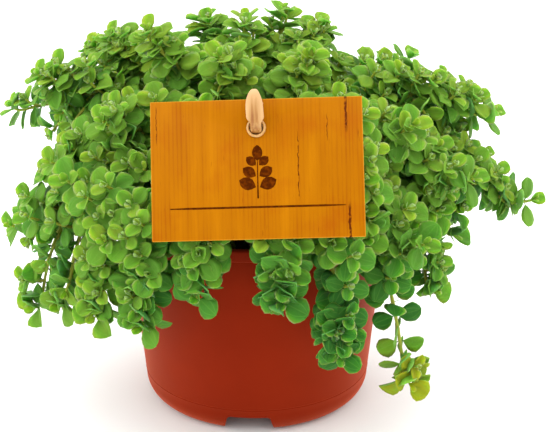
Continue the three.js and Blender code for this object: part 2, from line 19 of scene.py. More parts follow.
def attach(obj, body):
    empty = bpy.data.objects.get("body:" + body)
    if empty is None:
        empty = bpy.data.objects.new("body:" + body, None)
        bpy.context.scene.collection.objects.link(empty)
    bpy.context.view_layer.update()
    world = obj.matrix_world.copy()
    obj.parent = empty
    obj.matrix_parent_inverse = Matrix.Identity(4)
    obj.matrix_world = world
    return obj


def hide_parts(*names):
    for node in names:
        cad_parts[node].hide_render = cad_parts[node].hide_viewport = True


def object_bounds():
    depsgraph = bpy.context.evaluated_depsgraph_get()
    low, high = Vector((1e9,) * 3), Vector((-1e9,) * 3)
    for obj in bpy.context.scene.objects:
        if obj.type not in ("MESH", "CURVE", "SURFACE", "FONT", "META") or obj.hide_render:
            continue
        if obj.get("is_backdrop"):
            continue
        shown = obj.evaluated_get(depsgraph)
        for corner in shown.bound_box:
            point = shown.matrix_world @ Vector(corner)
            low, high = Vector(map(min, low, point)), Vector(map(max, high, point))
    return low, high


LOG = logging.getLogger("potted_pilea")
MM = 0.001
UP = Vector((0.0, 0.0, 1.0))

Piece = bpy.types.Object
Material = bpy.types.Material
Socket = bpy.types.NodeSocket
Pair = tuple[float, float]
Triple = tuple[float, float, float]
Outline = list[Pair]
# A colour ramp: places from 0 to 1 with sRGB hex colours
Ramp = tuple[tuple[float, str], ...]
# A stem's end: azimuth in degrees, distance from the pot's axis and height
End = Triple


# Modelling helpers


def clamp(value: float) -> float:
    """Keeps a number from 0 to 1."""
    return min(max(value, 0.0), 1.0)


def polar(azimuth: float, radius: float, height: float) -> Vector:
    """A place or direction at an azimuth in degrees, a radius and a height."""
    turn = math.radians(azimuth)
    return Vector((radius * math.cos(turn), radius * math.sin(turn), height))


def deselect() -> None:
    """Leaves object mode with nothing selected."""
    if bpy.context.mode != "OBJECT":
        bpy.ops.object.mode_set(mode="OBJECT")
    bpy.ops.object.select_all(action="DESELECT")


def choose(*pieces: Piece) -> Piece:
    """Selects pieces and makes the first one active.

    Args:
        pieces: the pieces to select.

    Returns:
        The active piece.
    """
    deselect()
    for piece in pieces:
        piece.select_set(True)
    bpy.context.view_layer.objects.active = pieces[0]
    return pieces[0]


@contextmanager
def editing(piece: Piece, select: str = "SELECT") -> Iterator[None]:
    """Opens a piece in edit mode for the operators inside the block.

    Args:
        piece: the piece to edit.
        select: SELECT to start with everything selected, DESELECT for nothing.
    """
    choose(piece)
    bpy.ops.object.mode_set(mode="EDIT")
    bpy.ops.mesh.select_all(action=select)
    yield
    bpy.ops.object.mode_set(mode="OBJECT")


def select_faces(piece: Piece, wanted: Callable[[bpy.types.MeshPolygon], bool]) -> None:
    """Selects faces by a test, in object mode, and leaves only them selected.

    Args:
        piece: the piece whose faces are tested.
        wanted: says whether a face is wanted.
    """
    mesh = piece.data
    mesh.vertices.foreach_set("select", [False] * len(mesh.vertices))
    mesh.edges.foreach_set("select", [False] * len(mesh.edges))
    mesh.polygons.foreach_set("select", [wanted(face) for face in mesh.polygons])


def apply_modifier(piece: Piece, kind: str, **settings: Any) -> None:
    """Adds a modifier with its settings and applies it.

    Args:
        piece: the piece to change.
        kind: Blender's name of the modifier type.
        settings: the modifier's properties.
    """
    choose(piece)
    modifier = piece.modifiers.new(kind.lower(), kind)
    for name, value in settings.items():
        setattr(modifier, name, value)
    bpy.ops.object.modifier_apply(modifier=modifier.name)


def cut(piece: Piece, cutter: Piece) -> None:
    """Cuts one piece out of another and removes the cutter."""
    apply_modifier(piece, "BOOLEAN", operation="DIFFERENCE", solver="EXACT", object=cutter)
    bpy.data.objects.remove(cutter, do_unlink=True)


def smooth(piece: Piece, degrees: float) -> None:
    """Shades a piece smooth where its faces meet at less than an angle."""
    choose(piece)
    bpy.ops.object.shade_smooth_by_angle(angle=math.radians(degrees))


def join(name: str, *pieces: Piece) -> Piece:
    """Joins pieces into the first one and names it.

    Args:
        name: the name of the whole and of its mesh.
        pieces: the pieces, in the order in which their meshes follow each other.

    Returns:
        The whole.
    """
    whole = choose(*pieces)
    if len(pieces) > 1:
        bpy.ops.object.join()
    whole.name = name
    whole.data.name = name
    return whole


def spun(name: str, profile: Outline, steps: int, closed: bool) -> Piece:
    """Spins a profile once round the Z axis.

    Args:
        name: the new piece's name.
        profile: points as radius and height in millimetres.
        steps: how many steps the turn has.
        closed: whether the last point joins the first, as in a ring.

    Returns:
        The closed turned piece.
    """
    bpy.ops.mesh.primitive_plane_add(size=MM)
    piece = bpy.context.object
    piece.name = name
    count = len(profile)
    edges = [(i, i + 1) for i in range(count - 1)] + ([(count - 1, 0)] if closed else [])
    piece.data.clear_geometry()
    piece.data.from_pydata([(r * MM, 0, z * MM) for r, z in profile], edges, [])
    with editing(piece):
        bpy.ops.mesh.spin(steps=steps, angle=2 * math.pi, center=(0, 0, 0), axis=(0, 0, 1))
        bpy.ops.mesh.select_all(action="SELECT")
        bpy.ops.mesh.remove_doubles(threshold=0.01 * MM)
        bpy.ops.mesh.normals_make_consistent(inside=False)
    return piece


def settle(piece: Piece, node: str | None, slot: str, *finishes: Material) -> None:
    """Gives a finished piece its frame: its body, CAD node and materials.

    Args:
        piece: the finished piece, with its place in its mesh.
        node: the CAD node that it stands for, or None for an added piece.
        slot: the record's material slot; not used.
        finishes: the materials for its material slots, in order; none keeps what it has.
    """
    if finishes:
        piece.data.materials.clear()
        for finish in finishes:
            piece.data.materials.append(finish)
    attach(piece, "root")
    if node:
        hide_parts(node)
    LOG.info("%s: %d faces", piece.name, len(piece.data.polygons))


# Shared materials work


def linear(colour: str) -> tuple[float, float, float, float]:
    """Turns an sRGB hex colour into Blender's linear one.

    Args:
        colour: six hex digits after a number sign.

    Returns:
        Linear red, green, blue and an alpha of 1.
    """
    channels = [int(colour[i : i + 2], 16) / 255 for i in (1, 3, 5)]
    curve = [c / 12.92 if c <= 0.04045 else ((c + 0.055) / 1.055) ** 2.4 for c in channels]
    return (*curve, 1.0)


@dataclass
class Recipe:
    """The node tree of a material or a world while it is being wired, and the shader at its end."""

    owner: Material | bpy.types.World
    shader: bpy.types.Node

    @classmethod
    def start(cls, name: str, **values: Any) -> "Recipe":
        """Makes a material with one principled shader.

        Args:
            name: the material's name.
            values: values for the shader's own sockets, with _ for a space.

        Returns:
            The recipe.
        """
        material = bpy.data.materials.new(name)
        material.use_nodes = True
        shader = material.node_tree.nodes["Principled BSDF"]
        for socket, value in values.items():
            shader.inputs[socket.replace("_", " ")].default_value = value
        return cls(material, shader)

    def add(
        self,
        kind: str,
        links: dict[int | str, Any] | None = None,
        stops: Ramp = (),
        **settings: Any,
    ) -> bpy.types.Node:
        """Adds a node with its settings, its values and what is linked into it.

        Args:
            kind: the node's type without ShaderNode.
            links: for each input, by name or number, a socket to link or a plain value.
            stops: a colour ramp's rising places, with their colours.
            settings: properties of the node itself.

        Returns:
            The new node.
        """
        node = self.owner.node_tree.nodes.new(f"ShaderNode{kind}")
        for name, value in settings.items():
            setattr(node, name, value)
        for name, value in (links or {}).items():
            if isinstance(value, Socket):
                self.owner.node_tree.links.new(value, node.inputs[name])
            else:
                node.inputs[name].default_value = value
        for index, (place, colour) in enumerate(stops):
            elements = node.color_ramp.elements
            if index == len(elements):
                elements.new(place)
            elements[index].position = place
            elements[index].color = linear(colour)
        return node

    def feed(self, socket: str, source: Socket) -> None:
        """Links a source into one of the shader's sockets."""
        self.owner.node_tree.links.new(source, self.shader.inputs[socket])


def place_on(recipe: Recipe, to_board: Matrix) -> Socket:
    """Reads places in the leaning board's own frame.

    Args:
        recipe: where the nodes go.
        to_board: takes a place in the scene into the board's frame.

    Returns:
        The place's socket.
    """
    place = recipe.add("TexCoord").outputs["Object"]
    turned = {0: place, "Location": to_board.translation, "Rotation": to_board.to_euler("XYZ")}
    return recipe.add("Mapping", turned).outputs[0]


def drawn_out(recipe: Recipe, board: Socket, width_mm: float, along: float) -> Socket:
    """Noise drawn out along the grain of wood or reed.

    Args:
        recipe: where the nodes go.
        board: a place in the board's own frame.
        width_mm: how wide a streak is.
        along: how much slower the noise changes along the grain.

    Returns:
        The noise, from 0 to 1.
    """
    stretch = recipe.add("Mapping", {0: board, "Scale": (1.0, 1.0, along)}).outputs[0]
    noise = {"Vector": stretch, "Scale": 1000 / width_mm, "Detail": 4.0, "Distortion": 0.2}
    return recipe.add("TexNoise", noise).outputs["Fac"]


# Finishes


@dataclass(frozen=True)
class LeafFinish:
    """Living leaf skin: waxy, a little translucent, yellow-green when young, deeper with age and painted
    shade.

    Its margin is painted paler than its blade as an edge highlight, and three fine veins run from
    its foot. The cells that quilt it are drawn about twice their real width, so that they show.
    """

    name: str = "living_leaf"
    # Colours by age; the same scale also shows the painted shade and painted sunlight added to the age
    ages: Ramp = (
        (0.0, "#90941f"),
        (0.1, "#7c932a"),
        (0.22, "#648a2b"),
        (0.45, "#54832b"),
        (0.72, "#42782b"),
        (1.0, "#2f6326"),
    )
    wax: str = "#b8e080"
    # The margin's paler colour is a painted edge highlight, mixed in from a share of the rim
    margin: str = "#70a03c"
    rim_highlight_from: float = 0.7
    rim_highlight_share: float = 0.35
    vein: str = "#78a644"
    vein_share: float = 0.18
    vein_width: float = 0.03
    vein_bow: float = 0.92
    variety: float = 0.16
    cloud_mm: float = 3.85
    cell_mm: float = 1.1

    def make(self) -> Material:
        """Builds the material.

        Returns:
            The leaf's upper side.
        """
        recipe = Recipe.start(
            self.name,
            Roughness=0.5,
            IOR=1.42,
            Specular_IOR_Level=0.1,
            Specular_Tint=linear(self.wax),
            Subsurface_Weight=0.45,
            Subsurface_Scale=0.002,
            Subsurface_Radius=(0.55, 1.0, 0.2),
        )
        place = recipe.add("TexCoord").outputs["Object"]
        blade = recipe.add("ValToRGB", {0: self.age(recipe, place)}, stops=self.ages).outputs[0]
        veined = recipe.add(
            "Mix", {0: self.veins(recipe), "A": blade, "B": linear(self.vein)}, data_type="RGBA"
        ).outputs["Result"]
        # Painted edge highlight: the paler margin colour mixed in along the leaf's rim
        rim = recipe.add("Attribute", attribute_name="rim").outputs["Fac"]
        margin = {"Value": rim, "From Min": self.rim_highlight_from, "To Max": self.rim_highlight_share}
        edge = recipe.add("MapRange", margin).outputs[0]
        rim_highlighted = recipe.add("Mix", {0: edge, "A": veined, "B": linear(self.margin)}, data_type="RGBA")
        recipe.feed("Base Color", rim_highlighted.outputs["Result"])
        quilt = {"Vector": place, "Scale": 1000 / self.cell_mm}
        cells = recipe.add("TexVoronoi", quilt, feature="SMOOTH_F1").outputs["Distance"]
        bump = recipe.add("Bump", {"Height": cells, "Strength": 0.35, "Distance": 0.0003})
        recipe.feed("Normal", bump.outputs["Normal"])
        return recipe.owner

    def age(self, recipe: Recipe, place: Socket) -> Socket:
        """Reads the leaf's age and painted shade, a little different from leaf to leaf and across each
        blade.

        Args:
            recipe: where the nodes go.
            place: a place on the leaf.

        Returns:
            The age with painted shade, from 0 to 1.
        """
        # The attribute holds age plus painted shade, lowered where the crown is painted sunlit
        age = recipe.add("Attribute", attribute_name="age").outputs["Fac"]
        tint = recipe.add("Attribute", attribute_name="tint").outputs["Fac"]
        cloud = recipe.add("TexNoise", {"Vector": place, "Scale": 1000 / self.cloud_mm}).outputs["Fac"]
        both = recipe.add("Math", {0: tint, 1: cloud}, operation="ADD").outputs[0]
        centred = recipe.add("Math", {0: both, 1: 1.0}, operation="SUBTRACT").outputs[0]
        varied = {0: centred, 1: self.variety, 2: age}
        return recipe.add("Math", varied, operation="MULTIPLY_ADD", use_clamp=True).outputs[0]

    def veins(self, recipe: Recipe) -> Socket:
        """Draws the midrib and the two side veins that bow out from the leaf's foot.

        Args:
            recipe: where the nodes go.

        Returns:
            How strong a vein is, from 0 to its full share.
        """
        uv = recipe.add("UVMap", uv_map="leaf").outputs[0]
        split = recipe.add("SeparateXYZ", {0: uv})
        along = split.outputs["X"]
        centred = recipe.add("Math", {0: split.outputs["Y"], 1: 0.5}, operation="SUBTRACT").outputs[0]
        across = recipe.add("Math", {0: centred}, operation="ABSOLUTE").outputs[0]
        rest = recipe.add("Math", {0: 1.0, 1: along}, operation="SUBTRACT").outputs[0]
        hump = recipe.add("Math", {0: along, 1: rest}, operation="MULTIPLY").outputs[0]
        bow = recipe.add("Math", {0: hump, 1: self.vein_bow}, operation="MULTIPLY").outputs[0]
        beside = recipe.add("Math", {0: across, 1: bow}, operation="SUBTRACT").outputs[0]
        side = recipe.add("Math", {0: beside}, operation="ABSOLUTE").outputs[0]
        nearest = recipe.add("Math", {0: side, 1: across}, operation="MINIMUM").outputs[0]
        width = {"From Min": self.vein_width, "From Max": 0.0, "To Max": self.vein_share}
        return recipe.add("MapRange", {"Value": nearest, **width}).outputs[0]


@dataclass(frozen=True)
class UndersideFinish:
    """The leaf's underside: paler, greyer and duller, because it has less wax."""

    name: str = "leaf_underside"
    ages: Ramp = ((0.0, "#86b448"), (0.7, "#548a48"))

    def make(self) -> Material:
        """Builds the material.

        Returns:
            The leaf's underside.
        """
        recipe = Recipe.start(
            self.name,
            Roughness=0.62,
            IOR=1.4,
            Specular_IOR_Level=0.22,
            Subsurface_Weight=0.4,
            Subsurface_Scale=0.002,
            Subsurface_Radius=(0.5, 1.0, 0.2),
        )
        # The age attribute also carries the leaves' painted shade and painted sunlight
        age = recipe.add("Attribute", attribute_name="age").outputs["Fac"]
        recipe.feed("Base Color", recipe.add("ValToRGB", {0: age}, stops=self.ages).outputs[0])
        return recipe.owner


@dataclass(frozen=True)
class StemFinish:
    """Juicy stem: translucent, yellowish green in uneven stretches, with olive joints."""

    name: str = "juicy_stem"
    greens: Ramp = ((0.35, "#8a9c34"), (0.65, "#a2ac38"))
    joint: str = "#94903c"
    stretch_mm: float = 8.33

    def make(self) -> Material:
        """Builds the material.

        Returns:
            The stem's skin.
        """
        recipe = Recipe.start(
            self.name,
            Roughness=0.5,
            IOR=1.42,
            Specular_IOR_Level=0.2,
            Subsurface_Weight=0.2,
            Subsurface_Scale=0.002,
            Subsurface_Radius=(0.7, 1.0, 0.2),
        )
        place = recipe.add("TexCoord").outputs["Object"]
        noise = recipe.add("TexNoise", {"Vector": place, "Scale": 1000 / self.stretch_mm, "Detail": 3.0})
        skin = recipe.add("ValToRGB", {0: noise.outputs["Fac"]}, stops=self.greens).outputs[0]
        joint = recipe.add("Attribute", attribute_name="joint").outputs["Fac"]
        mixed = recipe.add("Mix", {0: joint, "A": skin, "B": linear(self.joint)}, data_type="RGBA")
        recipe.feed("Base Color", mixed.outputs["Result"])
        return recipe.owner


@dataclass(frozen=True)
class PotFinish:
    """Moulded polypropylene in terracotta red: satin and scuffed, with a warm glow at its edges.

    The faint orange peel from the mould is drawn about twice its real width, so that it shows.
    """

    name: str = "moulded_polypropylene"
    reds: Ramp = ((0.3, "#741b09"), (0.7, "#80200b"))
    gloss: str = "#c8603c"
    bloom: str = "#ff7038"
    smoothest: float = 0.38
    roughest: float = 0.54
    cloud_mm: float = 45.5
    scuff_mm: float = 11.1
    peel_mm: float = 1.4

    def make(self) -> Material:
        """Builds the material.

        Returns:
            The pot's plastic.
        """
        recipe = Recipe.start(
            self.name,
            IOR=1.49,
            Specular_IOR_Level=0.06,
            Specular_Tint=linear(self.gloss),
            Sheen_Weight=0.58,
            Sheen_Roughness=0.5,
            Sheen_Tint=linear(self.bloom),
        )
        place = recipe.add("TexCoord").outputs["Object"]
        cloud = recipe.add("TexNoise", {"Vector": place, "Scale": 1000 / self.cloud_mm, "Detail": 4.0})
        body = recipe.add("ValToRGB", {0: cloud.outputs["Fac"]}, stops=self.reds)
        recipe.feed("Base Color", body.outputs[0])
        scuff = recipe.add("TexNoise", {"Vector": place, "Scale": 1000 / self.scuff_mm, "Detail": 6.0})
        worn = {"Value": scuff.outputs["Fac"], "To Min": self.smoothest, "To Max": self.roughest}
        recipe.feed("Roughness", recipe.add("MapRange", worn).outputs[0])
        peel = recipe.add("TexNoise", {"Vector": place, "Scale": 1000 / self.peel_mm, "Detail": 2.0})
        bump = recipe.add("Bump", {"Height": peel.outputs["Fac"], "Strength": 0.1, "Distance": 0.0002})
        recipe.feed("Normal", bump.outputs["Normal"])
        return recipe.owner


@dataclass(frozen=True)
class TagFinish:
    """Sawn pine under an amber stain: upright year rings, rusty blotches, flecks and cracks.

    Each crack is its place across, its foot, its top and about half its width, in millimetres.
    """

    to_board: Matrix
    face: Pair
    name: str = "stained_pine"
    woods: Ramp = ((0.3, "#9e5b03"), (0.52, "#a66303"), (0.72, "#af6b04"))
    late_wood: str = "#8e4805"
    rust: str = "#9c4c04"
    fleck: str = "#6e3206"
    # A painted edge highlight: the paler colour along the face's rim
    edge_highlight: str = "#c4861e"
    crack: str = "#541c05"
    gloss: str = "#c88030"
    grain_mm: float = 1.3
    ring_mm: float = 1.7
    streak_mm: float = 7.0
    blotch_mm: float = 18.2
    fleck_mm: float = 1.1
    along_grain: float = 0.03
    along_streak: float = 0.12
    # Where the painted edge highlight begins and where it is full, in from the face's edge
    edge_highlight_from_mm: float = 0.45
    edge_highlight_full_mm: float = 0.1
    waver: float = 1.9
    waver_mm: float = 2.63
    crack_edge: Pair = (1.6, 0.8)
    cracks: tuple[tuple[float, float, float, float], ...] = (
        (37.4, 43.0, 64.0, 0.4),
        (38.0, -6.0, 15.0, 0.4),
        (17.2, 14.0, 46.0, 0.16),
        (-41.8, 40.0, 57.0, 0.14),
        (29.5, 40.0, 52.0, 0.12),
    )

    def make(self) -> Material:
        """Builds the material: the wood's own colour, and over it one layer after the other.

        Returns:
            The stained wood.
        """
        recipe = Recipe.start(
            self.name, Roughness=0.6, IOR=1.5, Specular_IOR_Level=0.35, Specular_Tint=linear(self.gloss)
        )
        board = place_on(recipe, self.to_board)
        streak = drawn_out(recipe, board, self.streak_mm, self.along_streak)
        flecks = drawn_out(recipe, board, self.fleck_mm, self.along_streak)
        cloud = recipe.add("TexNoise", {"Vector": board, "Scale": 1000 / self.blotch_mm, "Detail": 3.0})
        blotch = cloud.outputs["Fac"]
        rusty = {"Value": blotch, "From Min": 0.52, "From Max": 0.74, "To Max": 0.6}
        flecked = {"Value": flecks, "From Min": 0.68, "From Max": 0.76, "To Max": 0.75}
        layers = (
            (self.ring_mask(recipe, board, streak, blotch), self.late_wood),
            (recipe.add("MapRange", rusty).outputs[0], self.rust),
            (recipe.add("MapRange", flecked).outputs[0], self.fleck),
            # Painted edge highlight along the face's rim
            (self.edge_highlight_mask(recipe, board), self.edge_highlight),
            (self.crack_mask(recipe, board), self.crack),
        )
        colour = recipe.add("ValToRGB", {0: streak}, stops=self.woods).outputs[0]
        for mask, over in layers:
            mixed = recipe.add("Mix", {0: mask, "A": colour, "B": linear(over)}, data_type="RGBA")
            colour = mixed.outputs["Result"]
        recipe.feed("Base Color", colour)
        grain = drawn_out(recipe, board, self.grain_mm, self.along_grain)
        bump = recipe.add("Bump", {"Height": grain, "Strength": 0.25, "Distance": 0.0003})
        recipe.feed("Normal", bump.outputs["Normal"])
        return recipe.owner

    def ring_mask(self, recipe: Recipe, board: Socket, streak: Socket, blotch: Socket) -> Socket:
        """The dark lines of late wood, weaker here and there.

        Args:
            recipe: where the nodes go.
            board: a place in the board's own frame.
            streak: noise that weakens whole bands of lines.
            blotch: noise that weakens stretches of them.

        Returns:
            How dark a line is, from 0 to 1.
        """
        rays = recipe.add("Mapping", {0: board, "Scale": (1.0, 1.0, self.along_grain)}).outputs[0]
        waves = {"Vector": rays, "Scale": 100 * math.pi / self.ring_mm, "Distortion": 7.0, "Detail": 3.0}
        rings = recipe.add("TexWave", waves, wave_type="BANDS", bands_direction="X").outputs["Fac"]
        dark = {"Value": rings, "From Min": 0.55, "To Max": 0.6}
        bands = {"Value": streak, "From Min": 0.35, "From Max": 0.6, "To Min": 1.0, "To Max": 0.25}
        stretches = {"Value": blotch, "From Min": 0.38, "From Max": 0.58, "To Min": 0.3, "To Max": 1.2}
        late, banded, broken = (recipe.add("MapRange", m).outputs[0] for m in (dark, bands, stretches))
        seen = recipe.add("Math", {0: banded, 1: broken}, operation="MULTIPLY").outputs[0]
        return recipe.add("Math", {0: late, 1: seen}, operation="MULTIPLY").outputs[0]

    def edge_highlight_mask(self, recipe: Recipe, board: Socket) -> Socket:
        """The rim of the face, painted paler as an edge highlight.

        Args:
            recipe: where the nodes go.
            board: a place in the board's own frame.

        Returns:
            How strong the painted highlight is, from 0 to 1.
        """
        across, half = self.face[0] / 2 * MM, self.face[1] / 2 * MM
        split = recipe.add("SeparateXYZ", {0: board})
        aside = recipe.add("Math", {0: split.outputs["X"]}, operation="ABSOLUTE").outputs[0]
        side = recipe.add("Math", {0: aside, 1: across}, operation="SUBTRACT").outputs[0]
        middle = recipe.add("Math", {0: split.outputs["Z"], 1: half}, operation="SUBTRACT").outputs[0]
        away = recipe.add("Math", {0: middle}, operation="ABSOLUTE").outputs[0]
        end = recipe.add("Math", {0: away, 1: half}, operation="SUBTRACT").outputs[0]
        nearest = recipe.add("Math", {0: side, 1: end}, operation="MAXIMUM").outputs[0]
        highlight_band = {"From Min": -self.edge_highlight_from_mm * MM, "From Max": -self.edge_highlight_full_mm * MM, "To Max": 0.8}
        return recipe.add("MapRange", {"Value": nearest, **highlight_band}).outputs[0]

    def crack_mask(self, recipe: Recipe, board: Socket) -> Socket:
        """Thin upright cracks that waver with the grain.

        Args:
            recipe: where the nodes go.
            board: a place in the board's own frame.

        Returns:
            How dark a crack is, from 0 to 1.
        """
        noise = recipe.add("TexNoise", {"Vector": board, "Scale": 1000 / self.waver_mm, "Detail": 4.0})
        wobble = noise.outputs["Fac"]
        split = recipe.add("SeparateXYZ", {0: board})
        swing = {0: wobble, 1: self.waver * MM, 2: -self.waver / 2 * MM}
        waver = recipe.add("Math", swing, operation="MULTIPLY_ADD").outputs[0]
        across = recipe.add("Math", {0: split.outputs["X"], 1: waver}, operation="ADD").outputs[0]
        soft, full = self.crack_edge
        mask: Socket | float = 0.0
        for place, foot, top, half in self.cracks:
            beside = recipe.add("Math", {0: across, 1: place * MM}, operation="SUBTRACT").outputs[0]
            off = recipe.add("Math", {0: beside}, operation="ABSOLUTE").outputs[0]
            thin = {"Value": off, "From Min": half * soft * MM, "From Max": half * full * MM}
            centre = {0: split.outputs["Z"], 1: (foot + top) / 2 * MM}
            above = recipe.add("Math", centre, operation="SUBTRACT").outputs[0]
            away = recipe.add("Math", {0: above}, operation="ABSOLUTE").outputs[0]
            tapered = {"Value": away, "From Min": (top - foot) / 2 * MM, "From Max": (top - foot) / 3 * MM}
            line, ends = (recipe.add("MapRange", reach).outputs[0] for reach in (thin, tapered))
            crack = recipe.add("Math", {0: line, 1: ends}, operation="MULTIPLY").outputs[0]
            mask = recipe.add("Math", {0: mask, 1: crack}, operation="MAXIMUM").outputs[0]
        gaps = {"Value": wobble, "From Min": 0.32, "From Max": 0.46}
        broken = recipe.add("MapRange", gaps).outputs[0]
        return recipe.add("Math", {0: mask, 1: broken}, operation="MULTIPLY", use_clamp=True).outputs[0]


@dataclass(frozen=True)
class InkFinish:
    """Brown ink printed on the stained wood: matt, soaked in unevenly."""

    name: str = "printing_ink"
    inks: Ramp = ((0.42, "#441900"), (0.68, "#662c00"))
    soak_mm: float = 1.43

    def make(self) -> Material:
        """Builds the material.

        Returns:
            The ink.
        """
        recipe = Recipe.start(self.name, Roughness=0.8, Specular_IOR_Level=0.02)
        place = recipe.add("TexCoord").outputs["Object"]
        soak = recipe.add("TexNoise", {"Vector": place, "Scale": 1000 / self.soak_mm, "Detail": 4.0})
        ink = recipe.add("ValToRGB", {0: soak.outputs["Fac"]}, stops=self.inks)
        recipe.feed("Base Color", ink.outputs[0])
        return recipe.owner


@dataclass(frozen=True)
class ReedFinish:
    """Split reed: pale cream at its edges, browner along its middle towards its lower end, streaked with
    fibres.
    """

    to_board: Matrix
    name: str = "split_reed"
    fibres: Ramp = ((0.0, "#c89c66"), (0.5, "#a87638"), (1.0, "#8e551e"))
    fibre_mm: float = 0.91
    along: float = 0.05
    middle: float = -0.4
    pale_from: float = 2.9
    core_half: float = 1.0
    browning_top: float = 61.0
    browning_full: float = 51.0

    def make(self) -> Material:
        """Builds the material.

        Returns:
            The reed.
        """
        recipe = Recipe.start(self.name, Roughness=0.5, IOR=1.5)
        board = place_on(recipe, self.to_board)
        fibre = drawn_out(recipe, board, self.fibre_mm, self.along)
        split = recipe.add("SeparateXYZ", {0: board})
        centre = {0: split.outputs["X"], 1: self.middle * MM}
        off = recipe.add("Math", centre, operation="SUBTRACT").outputs[0]
        side = recipe.add("Math", {0: off}, operation="ABSOLUTE").outputs[0]
        core = {"Value": side, "From Min": self.pale_from * MM, "From Max": self.core_half * MM}
        # The browning grows by height alone, darkest towards the reed's lower end
        rise = {"From Min": self.browning_top * MM, "From Max": self.browning_full * MM}
        inner = recipe.add("MapRange", core).outputs[0]
        low = recipe.add("MapRange", {"Value": split.outputs["Z"], **rise}).outputs[0]
        deep = recipe.add("Math", {0: inner, 1: low}, operation="MULTIPLY").outputs[0]
        threads = {"Value": fibre, "From Min": 0.35, "From Max": 0.65, "To Min": 0.4}
        thread = recipe.add("MapRange", threads).outputs[0]
        brown = recipe.add("Math", {0: deep, 1: thread}, operation="MULTIPLY").outputs[0]
        recipe.feed("Base Color", recipe.add("ValToRGB", {0: brown}, stops=self.fibres).outputs[0])
        bump = recipe.add("Bump", {"Height": fibre, "Strength": 0.25, "Distance": 0.0002})
        recipe.feed("Normal", bump.outputs["Normal"])
        return recipe.owner


@dataclass(frozen=True)
class EyeletFinish:
    """Cream nylon eyelet: smooth and glossy, with a little light going in."""

    name: str = "cream_nylon"
    creams: Ramp = ((0.3, "#c0904e"), (0.65, "#c4985f"))
    cloud_mm: float = 2.0

    def make(self) -> Material:
        """Builds the material.

        Returns:
            The eyelet's plastic.
        """
        recipe = Recipe.start(
            self.name, Roughness=0.3, IOR=1.53, Subsurface_Weight=0.15, Subsurface_Scale=0.001
        )
        place = recipe.add("TexCoord").outputs["Object"]
        cloud = recipe.add("TexNoise", {"Vector": place, "Scale": 1000 / self.cloud_mm, "Detail": 3.0})
        cream = recipe.add("ValToRGB", {0: cloud.outputs["Fac"]}, stops=self.creams)
        recipe.feed("Base Color", cream.outputs[0])
        return recipe.owner


@dataclass(frozen=True)
class CompostFinish:
    """Damp peat compost: dark brown fibre and grit, fully matt."""

    name: str = "peat_compost"
    browns: Ramp = ((0.35, "#1d120b"), (0.55, "#37251a"), (0.75, "#5d4330"))
    grit_mm: float = 2.38

    def make(self) -> Material:
        """Builds the material.

        Returns:
            The compost.
        """
        recipe = Recipe.start(self.name, Roughness=0.95)
        place = recipe.add("TexCoord").outputs["Object"]
        noise = recipe.add("TexNoise", {"Vector": place, "Scale": 1000 / self.grit_mm, "Detail": 8.0})
        grit = noise.outputs["Fac"]
        recipe.feed("Base Color", recipe.add("ValToRGB", {0: grit}, stops=self.browns).outputs[0])
        bump = recipe.add("Bump", {"Height": grit, "Strength": 0.8, "Distance": 0.001})
        recipe.feed("Normal", bump.outputs["Normal"])
        return recipe.owner


@dataclass(frozen=True)
class StageFinish:
    """Seamless studio paper: white and matt, so that only soft shadow shows on it."""

    name: str = "studio_paper"
    white: str = "#f7f7f5"

    def make(self) -> Material:
        """Builds the material."""
        return Recipe.start(self.name, Roughness=0.9, Base_Color=linear(self.white)).owner


# The pot and its soil


